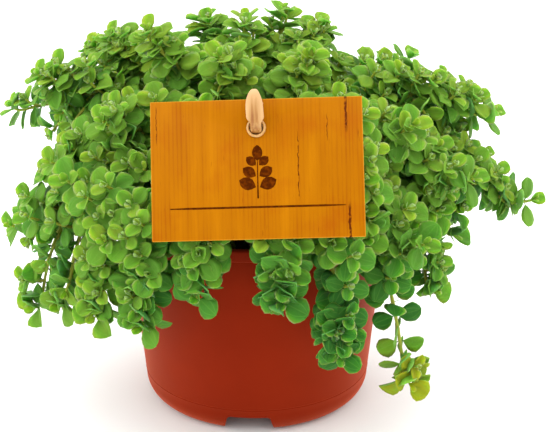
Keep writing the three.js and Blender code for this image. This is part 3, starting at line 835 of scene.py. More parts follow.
@dataclass
class Pot:
    """The thin-walled nursery pot, with its heel, groove, rim bead, notches and drain holes."""

    height: float = 98.0
    top_radius: float = 65.0
    foot_radius: float = 55.5
    wall: float = 1.8
    heel: float = 10.3
    heel_steps: int = 12
    foot_wall: float = 2.2
    foot_sweep: float = 82.0
    foot_steps: int = 6
    floor: float = 11.0
    floor_round: float = 1.2
    groove: float = 13.7
    groove_depth: float = 0.12
    groove_lip: float = 0.1
    groove_width: float = 0.7
    rim_height: float = 6.0
    rim_proud: float = 0.9
    notch_count: int = 3
    notch_width: float = 26.0
    notch_top_width: float = 20.4
    notch_height: float = 9.7
    notch_azimuth: float = -93.3
    notch_corner: float = 1.6
    notch_reach: float = 51.0
    cutter_length: float = 30.0
    cutter_below: float = 4.0
    drain_radius: float = 5.0
    drain_circle: float = 30.0
    drain_turn: float = 60.0
    drain_sides: int = 32
    drain_length: float = 12.0
    turn_steps: int = 144
    soft_angle: float = 32.0

    def radius(self, height: float) -> float:
        """The outer wall's radius at a height."""
        return self.foot_radius + (self.top_radius - self.foot_radius) * height / self.height

    def heel_arc(self, radius: float, first: float, last: float, steps: int) -> Outline:
        """A run of points round the heel's centre.

        Args:
            radius: the run's radius.
            first: the first point's angle from straight down, in degrees.
            last: the last point's angle.
            steps: how many steps lie between them.

        Returns:
            Radius and height of each point.
        """
        centre = self.radius(self.heel) - self.heel
        turns = [math.radians(first + (last - first) * i / steps) for i in range(steps + 1)]
        return [(centre + radius * math.sin(t), self.heel - radius * math.cos(t)) for t in turns]

    def profile(self) -> Outline:
        """The wall's outline from the floor's underside, round the foot and rim, to its inside.

        Returns:
            Radius and height of each point.
        """
        centre = self.radius(self.heel) - self.heel
        inner = self.heel - self.foot_wall
        bead = self.height - self.rim_height
        half = self.groove_width / 2
        below, above = self.groove - half, self.groove + half
        # The bare numbers below round off corners, in millimetres
        underside = [
            (0.0, self.floor),
            (centre + inner - self.floor_round, self.floor),
            (centre + inner, self.floor - self.floor_round),
        ]
        curl = [(centre - self.foot_wall + 0.4, 0.6), (centre - self.foot_wall + 0.7, 0.0)]
        groove = [
            (self.radius(below), below - 0.3),
            (self.radius(below) + self.groove_lip, below),
            (self.radius(self.groove) - self.groove_depth, self.groove - 0.15),
            (self.radius(self.groove) - self.groove_depth, self.groove + 0.15),
            (self.radius(above), above),
        ]
        rim = [
            (self.radius(bead), bead),
            (self.radius(bead) + self.rim_proud * 0.7, bead + 0.35),
            (self.radius(bead) + self.rim_proud, bead + 1.1),
            (self.top_radius + self.rim_proud, self.height - 0.8),
            (self.top_radius + self.rim_proud - 0.3, self.height - 0.2),
            (self.top_radius + self.rim_proud - 0.9, self.height),
            (self.top_radius - self.wall + 0.5, self.height),
            (self.top_radius - self.wall, self.height - 0.5),
        ]
        inside = [
            (self.radius(self.floor + 5) - self.wall, self.floor + 5),
            (self.radius(self.floor + 3) - self.wall - 0.6, self.floor + 3),
            (self.radius(self.floor) - self.wall - 2.4, self.floor + self.wall),
            (0.0, self.floor + self.wall),
        ]
        foot = self.heel_arc(inner, self.foot_sweep, 0, self.foot_steps) + curl
        heel = self.heel_arc(self.heel, 0, 90, self.heel_steps)
        return underside + foot + heel + groove + rim + inside

    def notch(self, azimuth: float) -> Piece:
        """A wedge with rounded upper corners that opens one notch in the foot.

        Args:
            azimuth: where the notch looks, in degrees.

        Returns:
            The cutter.
        """
        bpy.ops.mesh.primitive_cube_add(size=1)
        block = bpy.context.object
        taper = self.notch_top_width / self.notch_width
        tall = self.notch_height + self.cutter_below
        middle = (self.notch_height - self.cutter_below) / 2
        block.data.transform(Matrix.Diagonal((self.notch_width, self.cutter_length, tall, 1)))
        for vertex in block.data.vertices:
            if vertex.co.z > 0:
                vertex.co.x *= taper
        block.data.transform(Matrix.Translation((0, -self.notch_reach, middle)))
        with editing(block, "DESELECT"):
            bpy.ops.object.mode_set(mode="OBJECT")
            for edge in block.data.edges:
                ends = [block.data.vertices[i].co for i in edge.vertices]
                edge.select = all(end.z > 0 for end in ends) and abs(ends[0].x - ends[1].x) < 1
            bpy.ops.object.mode_set(mode="EDIT")
            bpy.ops.mesh.bevel(offset=self.notch_corner, segments=4)
        block.data.transform(Matrix.Rotation(math.radians(azimuth + 90), 4, "Z"))
        block.data.transform(Matrix.Scale(MM, 4))
        return block

    def drain(self, azimuth: float) -> Piece:
        """A round pin that opens one drain hole in the floor.

        Args:
            azimuth: where the hole lies, in degrees.

        Returns:
            The cutter.
        """
        place = Vector((self.drain_circle, 0, self.floor)) @ Matrix.Rotation(math.radians(-azimuth), 3, "Z")
        bpy.ops.mesh.primitive_cylinder_add(
            vertices=self.drain_sides, radius=self.drain_radius * MM, depth=self.drain_length * MM
        )
        pin = bpy.context.object
        pin.data.transform(Matrix.Translation(place * MM))
        return pin

    def build(self, finish: Material) -> None:
        """Spins the wall and cuts its notches and drain holes.

        Args:
            finish: the pot's plastic.
        """
        deselect()
        pot = spun("nursery_pot", self.profile(), self.turn_steps, closed=False)
        for i in range(self.notch_count):
            azimuth = self.notch_azimuth + i * 360 / self.notch_count
            deselect()
            cut(pot, self.notch(azimuth))
            deselect()
            cut(pot, self.drain(azimuth + self.drain_turn))
        smooth(pot, self.soft_angle)
        settle(pot, "pot", "pot_plastic", finish)


@dataclass
class Soil:
    """The compost: a rough, crumbly top inside the pot, with loose crumbs on it."""

    pot: Pot
    top: float = 88.0
    gap: float = 0.6
    foot_gap: float = 2.6
    lift: float = 0.3
    sides: int = 72
    rings: int = 22
    relief: float = 3.0
    sink: float = 0.62
    flat_edge: float = 1.0
    crumbs: int = 260
    crumb_size: float = 1.5
    crumb_margin: float = 6.0
    crumb_sunk: float = 0.2
    crumb_tilt: float = 3.0
    crumb_narrow: float = 0.6
    crumb_flat: float = 0.7
    soft_angle: float = 50.0
    seed: int = 5

    def body(self) -> Piece:
        """The filling, with a top that is inset ring by ring and roughened.

        Returns:
            The closed filling.
        """
        bottom = self.pot.floor + self.pot.wall + self.lift
        top_radius = self.pot.radius(self.top) - self.pot.wall - self.gap
        foot_radius = self.pot.radius(bottom) - self.pot.wall - self.foot_gap
        bpy.ops.mesh.primitive_cone_add(
            vertices=self.sides,
            radius1=foot_radius * MM,
            radius2=top_radius * MM,
            depth=(self.top - bottom) * MM,
        )
        soil = bpy.context.object
        soil.data.transform(Matrix.Translation((0, 0, (self.top + bottom) / 2 * MM)))
        select_faces(soil, lambda face: face.normal.z > 0.9)
        choose(soil)
        bpy.ops.object.mode_set(mode="EDIT")
        for _ in range(self.rings):
            bpy.ops.mesh.inset(thickness=top_radius / (self.rings + 1) * MM)
        bpy.ops.mesh.poke()
        bpy.ops.object.mode_set(mode="OBJECT")
        draw = np.random.default_rng(self.seed)
        for vertex in soil.data.vertices:
            reach = math.hypot(vertex.co.x, vertex.co.y) / MM
            if vertex.co.z > (self.top - self.lift) * MM and reach < top_radius - self.flat_edge:
                vertex.co.z += (draw.random() - self.sink) * self.relief * MM
        return soil

    def crumb_field(self) -> Piece:
        """Loose crumbs of compost lying on the top, sunk a little into it.

        Returns:
            All the crumbs as one piece.
        """
        draw = np.random.default_rng(self.seed + 1)
        bpy.ops.mesh.primitive_ico_sphere_add(subdivisions=1, radius=1)
        crumb = bpy.context.object
        height = self.top - self.crumb_sunk
        places = []
        for _ in range(self.crumbs):
            reach = (self.pot.radius(self.top) - self.crumb_margin) * math.sqrt(draw.random())
            turn = 2 * math.pi * draw.random()
            size = self.crumb_size * (0.5 + draw.random())
            spot = Matrix.Translation((reach * math.cos(turn), reach * math.sin(turn), height))
            tilt = Matrix.Rotation(draw.random() * self.crumb_tilt, 4, Vector(draw.normal(size=3)))
            narrow = self.crumb_narrow + (1 - self.crumb_narrow) * draw.random()
            shape = Matrix.Diagonal((size, size * narrow, size * self.crumb_flat, 1))
            places.append(Place(spot @ tilt @ shape, 0.5, draw.random()))
        crumbs = scattered("crumbs", crumb, places)
        bpy.data.objects.remove(crumb, do_unlink=True)
        return crumbs

    def build(self, finish: Material) -> None:
        """Makes the filling with its crumbs.

        Args:
            finish: the compost.
        """
        deselect()
        soil = join("potting_compost", self.body(), self.crumb_field())
        smooth(soil, self.soft_angle)
        settle(soil, "soil", "potting_soil", finish)


# The tag, its print, its eyelet and its stake


@dataclass(frozen=True)
class Printing:
    """What is printed on the board: a thin rule, and a plain sprig of leaves above it.

    Each pair of leaves is its height on the stem as a share, its size as a share, and how far
    it leans from upright in degrees.
    """

    proud: float = 0.04
    gap: float = 0.01
    rule_height: float = 13.4
    rule_ends: Pair = (-36.5, 36.4)
    rule_width: float = 0.85
    rule_swell: tuple[float, ...] = (0.5, 1, 1, 1, 1, 1, 1, 1, 1, 0.4)
    sprig_foot: Pair = (0.2, 17.0)
    sprig_height: float = 19.5
    stem_share: float = 0.8
    stem_widths: tuple[float, ...] = (0.7, 0.6, 0.5, 0.4)
    pairs: tuple[Triple, ...] = ((0.22, 1.0, 66), (0.45, 0.86, 57), (0.68, 0.72, 48))
    leaf_length: float = 8.5
    leaf_width: float = 0.62
    leaf_gap: float = 0.9
    leaf_swell: tuple[float, ...] = (0.0, 0.55, 0.9, 1.0, 0.92, 0.66, 0.0)
    tip_share: float = 0.8
    tip_width: float = 4.4

    def stroke(self, start: Vector, end: Vector, widths: Sequence[float]) -> Piece:
        """One printed stroke on the board's face, as a thin closed film.

        Args:
            start: where it begins, across and up the board.
            end: where it ends.
            widths: its widths at even steps from start to end.

        Returns:
            The film, in the board's frame.
        """
        steps = len(widths) - 1
        deselect()
        bpy.ops.mesh.primitive_grid_add(x_subdivisions=steps, y_subdivisions=2, size=1)
        film = bpy.context.object
        along = end - start
        aside = Vector((-along.y, along.x)).normalized()
        for vertex in film.data.vertices:
            step = round((vertex.co.x + 0.5) * steps)
            spot = start + along * (step / steps) + aside * (vertex.co.y * widths[step])
            vertex.co = Vector((spot.x, -self.proud, spot.y)) * MM
        with editing(film):
            bpy.ops.mesh.remove_doubles(threshold=0.001 * MM)
        apply_modifier(film, "SOLIDIFY", thickness=(self.proud - self.gap) * MM, offset=-1)
        return film

    def rule(self) -> Piece:
        """The thin rule across the board, drawn finer at its ends.

        Returns:
            The film.
        """
        left, right = (Vector((end, self.rule_height)) for end in self.rule_ends)
        return self.stroke(left, right, [self.rule_width * swell for swell in self.rule_swell])

    def sprig(self) -> list[Piece]:
        """The sprig: its stem, its pairs of leaves and the leaf at its tip.

        Returns:
            The films.
        """
        foot = Vector(self.sprig_foot)
        tip = foot + Vector((0, self.sprig_height * self.stem_share))
        films = [self.stroke(foot, tip, self.stem_widths)]
        for share, size, lean in self.pairs:
            place = foot + Vector((0, self.sprig_height * share))
            length = self.leaf_length * size
            widths = [swell * length * self.leaf_width for swell in self.leaf_swell]
            for side in (-1, 1):
                turn = math.radians(90 - side * lean)
                way = Vector((math.cos(turn), math.sin(turn)))
                films.append(self.stroke(place + way * self.leaf_gap, place + way * length, widths))
        top = tip + Vector((0, self.leaf_length * self.tip_share))
        films.append(self.stroke(tip, top, [swell * self.tip_width for swell in self.leaf_swell]))
        return films

    def build(self, frame: Matrix, finish: Material) -> None:
        """Prints the rule and the sprig on the board.

        Args:
            frame: the board's frame.
            finish: the ink.
        """
        ink = join("tag_print", self.rule(), *self.sprig())
        with editing(ink):
            bpy.ops.mesh.normals_make_consistent(inside=False)
        ink.data.transform(frame)
        settle(ink, None, "tag_wood", finish)


@dataclass
class Tag:
    """The leaning wooden tag in its own frame: X right, Z up the board, -Y out of its face."""

    width: float = 88.6
    height: float = 58.6
    thickness: float = 1.2
    foot: Triple = (2.5, -95.6, 114.9)
    lean: float = 24.0
    yaw: float = -2.9
    roll: float = 2.5
    edge_round: float = 0.3
    edge_steps: int = 3
    board_soft: float = 40.0
    round_soft: float = 50.0
    eyelet_drop: float = 12.1
    eyelet_bore: float = 2.9
    eyelet_barrel: float = 3.4
    eyelet_flange: float = 4.1
    eyelet_lip: float = 0.9
    eyelet_play: float = 0.3
    flange_steps: int = 6
    round_steps: int = 48
    hole_length: float = 10.0
    reed_wide: float = 7.4
    reed_tip: float = 4.6
    reed_thick: float = 1.9
    reed_oval_foot: float = 53.5
    reed_oval: float = 9.0
    reed_oval_least: float = 0.1
    reed_standoff: float = 3.6
    reed_taper_above: float = 1.0
    reed_taper: float = 3.0
    reed_side_power: float = 0.6
    reed_crown_power: float = 0.75
    reed_sides: int = 18
    reed_steps: int = 8
    reed_root: Triple = (2, -49, 79)
    reed_hook: tuple[Triple, ...] = (
        (-0.4, 4.6, 50), (-0.5, 3.2, 57), (-0.5, 2.6, 60), (-0.5, 0.4, 61.9), (-0.5, -2, 61.1),
        (-0.5, -3.3, 58.3), (-0.4, -3.6, 55), (-0.2, -3.6, 51), (0, -3.2, 48.2), (0, -1.9, 46.1),
        (0, 0.4, 45.1), (0, 3.2, 45.0),
    )

    @property
    def frame(self) -> Matrix:
        """The board's place and turn in the scene.

        Returns:
            The matrix that takes a place on the board into the scene, in metres.
        """
        turn = Matrix.Rotation(math.radians(self.yaw), 4, "Z")
        turn @= Matrix.Rotation(math.radians(-self.lean), 4, "X")
        turn @= Matrix.Rotation(math.radians(-self.roll), 4, "Y")
        return Matrix.Translation(Vector(self.foot) * MM) @ turn

    @property
    def eyelet_height(self) -> float:
        """How high the eyelet's centre is above the board's lower edge."""
        return self.height - self.eyelet_drop

    def board(self, finish: Material) -> None:
        """The sawn board with its hole and softened edges.

        Args:
            finish: the stained wood.
        """
        deselect()
        bpy.ops.mesh.primitive_cube_add(size=1)
        board = bpy.context.object
        board.name = "tag_plank"
        board.data.transform(Matrix.Diagonal((self.width * MM, self.thickness * MM, self.height * MM, 1)))
        board.data.transform(Matrix.Translation((0, self.thickness / 2 * MM, self.height / 2 * MM)))
        deselect()
        hole = (self.eyelet_barrel + self.eyelet_play) * MM
        bpy.ops.mesh.primitive_cylinder_add(
            vertices=self.round_steps, radius=hole, depth=self.hole_length * MM
        )
        pin = bpy.context.object
        pin.data.transform(Matrix.Rotation(math.pi / 2, 4, "X"))
        pin.data.transform(Matrix.Translation((0, 0, self.eyelet_height * MM)))
        cut(board, pin)
        width = self.edge_round * MM
        apply_modifier(board, "BEVEL", width=width, segments=self.edge_steps, limit_method="ANGLE")
        smooth(board, self.board_soft)
        board.data.transform(self.frame)
        settle(board, "tag_board", "tag_wood", finish)

    def flange(self, face: float, outward: int) -> Outline:
        """The rounded outline of one of the eyelet's flanges, from its bore to its rim.

        Args:
            face: how far back the flange's outermost line lies.
            outward: 1 for the flange behind the board, -1 for the one before it.

        Returns:
            Radius and depth of each point.
        """
        middle = (self.eyelet_bore + self.eyelet_flange) / 2
        roll = (self.eyelet_flange - self.eyelet_bore) / 2
        turns = [math.pi * i / self.flange_steps for i in range(self.flange_steps + 1)]
        lip = outward * self.eyelet_lip
        return [(middle - roll * math.cos(t), face - lip * (1 - math.sin(t))) for t in turns]

    def eyelet(self, finish: Material) -> None:
        """The eyelet: a barrel through the board with a rounded flange on each face.

        Args:
            finish: the eyelet's plastic.
        """
        front, back = -self.eyelet_play, self.thickness + self.eyelet_play
        profile = self.flange(back + self.eyelet_lip, 1)
        profile += [(self.eyelet_barrel, back), (self.eyelet_barrel, front)]
        profile += self.flange(front - self.eyelet_lip, -1)[::-1]
        deselect()
        ring = spun("tag_grommet", profile, self.round_steps, closed=True)
        ring.data.transform(Matrix.Rotation(-math.pi / 2, 4, "X"))
        ring.data.transform(Matrix.Translation((0, 0, self.eyelet_height * MM)))
        ring.data.transform(self.frame)
        smooth(ring, self.round_soft)
        settle(ring, "tag_eyelet", "eyelet_plastic", finish)

    def stake_line(self) -> list[Vector]:
        """The reed's middle line in the board's frame, as a smooth run through its bends.

        Returns:
            Places every few tenths of a millimetre at the hook, in millimetres.
        """
        root = self.frame.inverted() @ (Vector(self.reed_root) * MM) / MM
        bends = [root] + [Vector(place) for place in self.reed_hook]
        ends = [bends[0] * 2 - bends[1], *bends, bends[-1] * 2 - bends[-2]]
        line = []
        for before, start, end, after in zip(ends, ends[1:], ends[2:], ends[3:]):
            for i in range(self.reed_steps):
                t = i / self.reed_steps
                place = start * 2 + (end - before) * t
                place += (before * 2 - start * 5 + end * 4 - after) * t**2
                place += (start * 3 - before - end * 3 + after) * t**3
                line.append(0.5 * place)
        return [*line, bends[-1]]

    def reed_width(self, place: Vector) -> float:
        """How wide the reed is: drawn in over the bend, and again where it enters the eyelet.

        Args:
            place: the place on its middle line, in the board's frame.

        Returns:
            The width.
        """
        above = max(place.z - self.reed_oval_foot, 0.0) / self.reed_oval
        width = self.reed_wide * math.sqrt(max(self.reed_oval_least, 1 - above**2))
        if place.y < self.reed_standoff:
            tip = self.reed_tip / self.reed_wide
            share = clamp((place.z - self.eyelet_height - self.reed_taper_above) / self.reed_taper)
            width *= tip + (1 - tip) * share * share * (3 - 2 * share)
        return width

    def stake(self, finish: Material) -> None:
        """The reed stake: a flat strip with rounded edges, swept from the soil over the board.

        Args:
            finish: the reed.
        """
        line = self.stake_line()
        last = len(line) - 1
        deselect()
        bpy.ops.mesh.primitive_grid_add(x_subdivisions=last, y_subdivisions=self.reed_sides, size=1)
        reed = bpy.context.object
        reed.name = "reed_stake"
        across = Vector((1, 0, 0))
        for vertex in reed.data.vertices:
            step = round((vertex.co.x + 0.5) * last)
            turn = 2 * math.pi * (vertex.co.y + 0.5)
            way = (line[min(step + 1, last)] - line[max(step - 1, 0)]).normalized()
            out = way.cross(across).normalized()
            flat = math.copysign(abs(math.cos(turn)) ** self.reed_side_power, math.cos(turn))
            crown = math.copysign(abs(math.sin(turn)) ** self.reed_crown_power, math.sin(turn))
            half = self.reed_width(line[step]) / 2
            vertex.co = (line[step] + across * (flat * half) + out * (crown * self.reed_thick / 2)) * MM
        with editing(reed):
            bpy.ops.mesh.remove_doubles(threshold=0.001 * MM)
            bpy.ops.mesh.select_all(action="DESELECT")
            bpy.ops.mesh.select_non_manifold()
            bpy.ops.mesh.edge_face_add()
            bpy.ops.mesh.select_all(action="SELECT")
            bpy.ops.mesh.normals_make_consistent(inside=False)
        reed.data.transform(self.frame)
        smooth(reed, self.round_soft)
        settle(reed, "tag_stake", "stake_reed", finish)

    def build(self) -> None:
        """Makes the board, its print, its eyelet and its stake, each with its finish."""
        to_board = self.frame.inverted()
        self.board(TagFinish(to_board, (self.width, self.height)).make())
        Printing().build(self.frame, InkFinish().make())
        self.eyelet(EyeletFinish().make())
        self.stake(ReedFinish(to_board).make())


# The foliage


@dataclass(frozen=True)
class Place:
    """Where one copy of a modelled shape goes, its age with painted shade, and how tinted it is."""

    matrix: Matrix
    age: float
    tint: float


def scattered(name: str, pattern: Piece, places: Sequence[Place]) -> Piece:
    """Copies a modelled shape to many places, in one mesh keeping each copy's age, painted shade and tint.

    Args:
        name: the new piece's name.
        pattern: the modelled shape, with its length as 1.
        places: the copies' places, in millimetres.

    Returns:
        The piece.
    """
    source = pattern.data
    count = len(source.vertices)
    points = np.empty(count * 3)
    source.vertices.foreach_get("co", points)
    points = np.c_[points.reshape(-1, 3), np.ones(count)]
    moved = [points @ np.array(place.matrix).T[:, :3] * MM for place in places]
    faces = [tuple(face.vertices) for face in source.polygons]
    shifted = [tuple(i + copy * count for i in face) for copy in range(len(places)) for face in faces]
    mesh = bpy.data.meshes.new(name)
    mesh.from_pydata(np.concatenate(moved), [], shifted)
    for key in ("age", "tint"):
        values = np.repeat([getattr(place, key) for place in places], count)
        mesh.attributes.new(key, "FLOAT", "POINT").data.foreach_set("value", values)
    if "rim" in source.attributes:
        rim = np.empty(count)
        source.attributes["rim"].data.foreach_get("value", rim)
        mesh.attributes.new("rim", "FLOAT", "POINT").data.foreach_set("value", np.tile(rim, len(places)))
    if "leaf" in source.uv_layers:
        uv = np.empty(len(source.loops) * 2)
        source.uv_layers["leaf"].data.foreach_get("uv", uv)
        mesh.uv_layers.new(name="leaf").data.foreach_set("uv", np.tile(uv, len(places)))
    slots = [face.material_index for face in source.polygons]
    mesh.polygons.foreach_set("material_index", slots * len(places))
    for material in source.materials:
        mesh.materials.append(material)
    piece = bpy.data.objects.new(name, mesh)
    bpy.context.collection.objects.link(piece)
    return piece


@dataclass(frozen=True)
class LeafShape:
    """One leaf's form, with its length as 1: a short stalk and a round, crenate, cupped blade."""

    name: str
    rows: tuple[float, ...]
    width: float
    stalk: float
    cup: float
    droop: float
    fold: float = 0.16
    quilt: float = 0.02
    quilt_sink: float = 0.4
    quilt_from: float = 0.05
    cup_along: float = 0.4
    teeth: float = 0.036
    teeth_from: float = 0.3
    widest: float = 0.54
    foot_power: float = 0.78
    tip_power: float = 2.1
    stalk_half: float = 0.03
    thickness: float = 0.04
    upper_strips: int = 4
    lower_strips: int = 2

    def half_width(self, along: float, row: int) -> float:
        """Half the leaf's width at a distance from its foot.

        Args:
            along: the distance from the foot, from 0 to 1.
            row: the row's number, which sets whether it is at a tooth or between two.

        Returns:
            Half the width.
        """
        if along <= 0 or along >= 1:
            return 0.0
        if along <= self.stalk:
            return self.stalk_half
        share = (along - self.stalk) / (1 - self.stalk)
        if share < self.widest:
            full = math.sin(math.pi / 2 * share / self.widest) ** self.foot_power
        else:
            full = math.sqrt(1 - ((share - self.widest) / (1 - self.widest)) ** self.tip_power)
        tooth = 1 + (self.teeth * (1 if row % 2 else -1) if share > self.teeth_from else 0)
        return self.width / 2 * full * tooth

    def height(self, along: float, across: float, half: float) -> float:
        """How high the upper face stands.

        Args:
            along: the distance from the foot.
            across: the place across, from -1 to 1.
            half: half the width there.

        Returns:
            The height above the leaf's plane.
        """
        edge = abs(across)
        crown = 0.0
        if half > self.quilt_from:
            crown = self.quilt * (edge * (1 - edge) * 4 - self.quilt_sink)
        keel = self.fold * edge * half
        rise = crown + keel + self.cup * (across * half) ** 2 * 4
        return rise + self.cup * along**2 * self.cup_along - self.droop * along**2

    def side(self, columns: int, under: bool) -> Piece:
        """One face of the blade, shaped from a flat grid.

        Args:
            columns: how many strips it has across.
            under: whether it is the underside, which lies lower between its edges.

        Returns:
            The face.
        """
        deselect()
        count = len(self.rows) - 1
        bpy.ops.mesh.primitive_grid_add(x_subdivisions=count, y_subdivisions=columns, size=1)
        face = bpy.context.object
        mesh = face.data
        rim = mesh.attributes.new("rim", "FLOAT", "POINT")
        flat = []
        for vertex in mesh.vertices:
            row = round((vertex.co.x + 0.5) * count)
            across = vertex.co.y * 2
            along = self.rows[row]
            half = self.half_width(along, row)
            deep = self.thickness * (1 - abs(across)) if under else 0.0
            height = self.height(along, across, half) - deep
            vertex.co = (along, across * half, height)
            at_edge = abs(across) > 0.99 or row == count
            rim.data[vertex.index].value = 1.0 if at_edge else 0.0
            flat.append((along, 0.5 + across * half))
        layer = mesh.uv_layers[0]
        layer.name = "leaf"
        for loop in mesh.loops:
            layer.data[loop.index].uv = flat[loop.vertex_index]
        mesh.polygons.foreach_set("material_index", [int(under)] * len(mesh.polygons))
        if under:
            with editing(face):
                bpy.ops.mesh.flip_normals()
        return face

    def model(self, upper: Material, lower: Material) -> Piece:
        """The whole leaf: two faces that meet in a thin edge.

        Args:
            upper: the upper side's finish.
            lower: the underside's finish.

        Returns:
            The closed leaf.
        """
        faces = [self.side(self.upper_strips, under=False), self.side(self.lower_strips, under=True)]
        for face in faces:
            face.data.materials.append(upper)
            face.data.materials.append(lower)
        leaf = join(self.name, *faces)
        with editing(leaf):
            bpy.ops.mesh.remove_doubles(threshold=0.001)
        return leaf


class LeafForm(Enum):
    """The four modelled leaves, from a tip's unfolding one to two full-grown ones."""

    BUD = LeafShape(
        "bud_leaf",
        rows=(0, 0.1, 0.36, 0.66, 0.9, 1),
        width=0.78, stalk=0.06, cup=0.3, droop=-0.05, fold=0.2, quilt=0.0, teeth=0.0,
    )
    YOUNG = LeafShape(
        "young_leaf",
        rows=(0, 0.1, 0.2, 0.42, 0.66, 0.88, 0.975, 1),
        width=0.8, stalk=0.1, cup=0.1, droop=0.03, fold=0.28,
    )
    FLAT = LeafShape(
        "flat_leaf",
        rows=(0, 0.13, 0.2, 0.36, 0.54, 0.72, 0.87, 0.965, 1),
        width=0.86, stalk=0.13, cup=-0.16, droop=0.06, fold=0.28,
    )
    CUPPED = LeafShape(
        "cupped_leaf",
        rows=(0, 0.15, 0.21, 0.37, 0.55, 0.73, 0.88, 0.97, 1),
        width=0.9, stalk=0.15, cup=0.06, droop=0.14, fold=0.26,
    )


@dataclass
class Draws:
    """Repeatable random numbers: the same rule as the solids', so that both grow alike."""

    state: int

    def next(self) -> float:
        """Draws the next number.

        Returns:
            A number from 0 to just under 1.
        """
        full = 0xFFFFFFFF
        self.state = (self.state + 0x6D2B79F5) & full
        mixed = ((self.state ^ (self.state >> 15)) * (self.state | 1)) & full
        mixed ^= (mixed + (((mixed ^ (mixed >> 7)) * (mixed | 61)) & full)) & full
        return ((mixed ^ (mixed >> 14)) & full) / (full + 1)

    def scatter(self, width: float) -> float:
        """A number centred on nought, in a range of a width."""
        return (self.next() - 0.5) * width

    def above(self, least: float, span: float) -> float:
        """A number from a least one up, in a range of a span."""
        return least + span * self.next()


@dataclass(frozen=True)
class Path:
    """A cubic stem curve, read by the distance back from its tip."""

    corners: tuple[Vector, Vector, Vector, Vector]
    samples: int = 80
    points: list[Vector] = field(default_factory=list)
    lengths: list[float] = field(default_factory=list)

    def __post_init__(self) -> None:
        """Samples the curve and measures it."""
        a, b, c, d = self.corners
        for i in range(self.samples + 1):
            t = i / self.samples
            s = 1 - t
            self.points.append(a * s**3 + b * (3 * s * s * t) + c * (3 * s * t * t) + d * t**3)
            step = (self.points[-1] - self.points[-2]).length if i else 0.0
            self.lengths.append((self.lengths[-1] if i else 0.0) + step)

    @property
    def length(self) -> float:
        """The curve's length."""
        return self.lengths[-1]

    def at(self, back: float) -> tuple[Vector, Vector]:
        """The place and direction at a distance back from the tip.

        Args:
            back: the distance; below nought it runs on past the tip.

        Returns:
            The place and the unit direction towards the tip.
        """
        reach = min(max(self.length - back, 0.0), self.length)
        step = max(1, int(np.searchsorted(self.lengths, reach)))
        start, end = self.points[step - 1], self.points[step]
        share = (reach - self.lengths[step - 1]) / max(self.lengths[step] - self.lengths[step - 1], 1e-9)
        way = (end - start).normalized()
        return start.lerp(end, share) + way * max(0.0, -back), way


@dataclass(frozen=True)
class TierShape:
    """What a tier's sprays share: where they root, how high they rise and how their ends lie."""

    name: str
    root_radius: float
    rise: float
    arm: float
    pitch: float
    leafy: float
    bushy: float
    tip_size: float = 1.0
    first_shoot: float = 12.0
    shoot_length: float = 5.0
    tip_back: float = 4.0
    hanging: float = 0.25


class Tier(Enum):
    """The four tiers of sprays, from the rim to the crown."""

    TRAILING = TierShape(
        "trailing", root_radius=46, rise=54, arm=72, pitch=-82, leafy=88, bushy=0.6,
        tip_size=1.3, first_shoot=3.0, shoot_length=4.5, hanging=0.15,
    )
    SHOULDER = TierShape(
        "shoulder", root_radius=34, rise=48, arm=52, pitch=-18, leafy=82, bushy=0.88,
        first_shoot=9.0, shoot_length=6.0,
    )
    UPPER = TierShape(
        "upper", root_radius=22, rise=62, arm=34, pitch=22, leafy=74, bushy=0.88,
        first_shoot=5.0, shoot_length=8.0, tip_back=5.0, hanging=0.4,
    )
    CROWN = TierShape(
        "crown", root_radius=10, rise=50, arm=24, pitch=58, leafy=66, bushy=0.95,
        first_shoot=5.0, shoot_length=8.0, tip_back=5.0, hanging=0.3,
    )


# Where each tier's stems end
ENDS: dict[Tier, list[End]] = {
    Tier.TRAILING: [
        (-167, 107, 52), (-153, 99, 62), (-137, 95, 66), (-122, 91, 67), (-106, 86, 83), (-82, 86, 82),
        (-65, 88, 54), (-55, 83, 104), (-39, 90, 29), (-15, 86, 62), (9, 98, 74), (34, 92, 60),
        (62, 92, 68), (90, 93, 58), (118, 92, 68), (148, 95, 58),
    ],
    Tier.SHOULDER: [
        (-178, 117, 86), (-162, 96, 126), (-142, 95, 112), (-42, 98, 100), (-20, 104, 120), (-3, 131, 100),
        (4, 113, 139), (30, 112, 122), (64, 98, 122), (96, 94, 118), (127, 99, 118), (157, 137, 130),
    ],
    Tier.UPPER: [
        (176, 103, 158), (154, 91, 164), (-145, 80, 150), (-116, 70, 154), (-64, 70, 154), (-34, 84, 148),
        (-6, 82, 158), (26, 84, 160), (66, 76, 160), (108, 76, 160),
    ],
    Tier.CROWN: [
        (-112, 40, 177), (-54, 42, 176), (34, 38, 180), (70, 38, 183), (124, 46, 179), (166, 70, 175),
        (-162, 50, 184), (104, 20, 183),
    ],
}


@dataclass(frozen=True)
class Daylight:
    """The light that leaves turn to: up, outwards from the middle, and a little to the front."""

    outward: float = 0.65
    outward_reach: float = 90.0
    front: float = 0.65
    up: float = 0.5
    low: float = 60.0
    rise: float = 150.0

    def at(self, place: Vector) -> Vector:
        """The light's direction at a place.

        Args:
            place: the place, in millimetres.

        Returns:
            A unit direction towards the light.
        """
        reach = math.hypot(place.x, place.y)
        light = Vector((place.x, place.y, 0)) / max(reach, 1) * min(reach / self.outward_reach, self.outward)
        light.y -= self.front
        light.z = self.up + max(0.0, place.z - self.low) / self.rise
        return light.normalized()


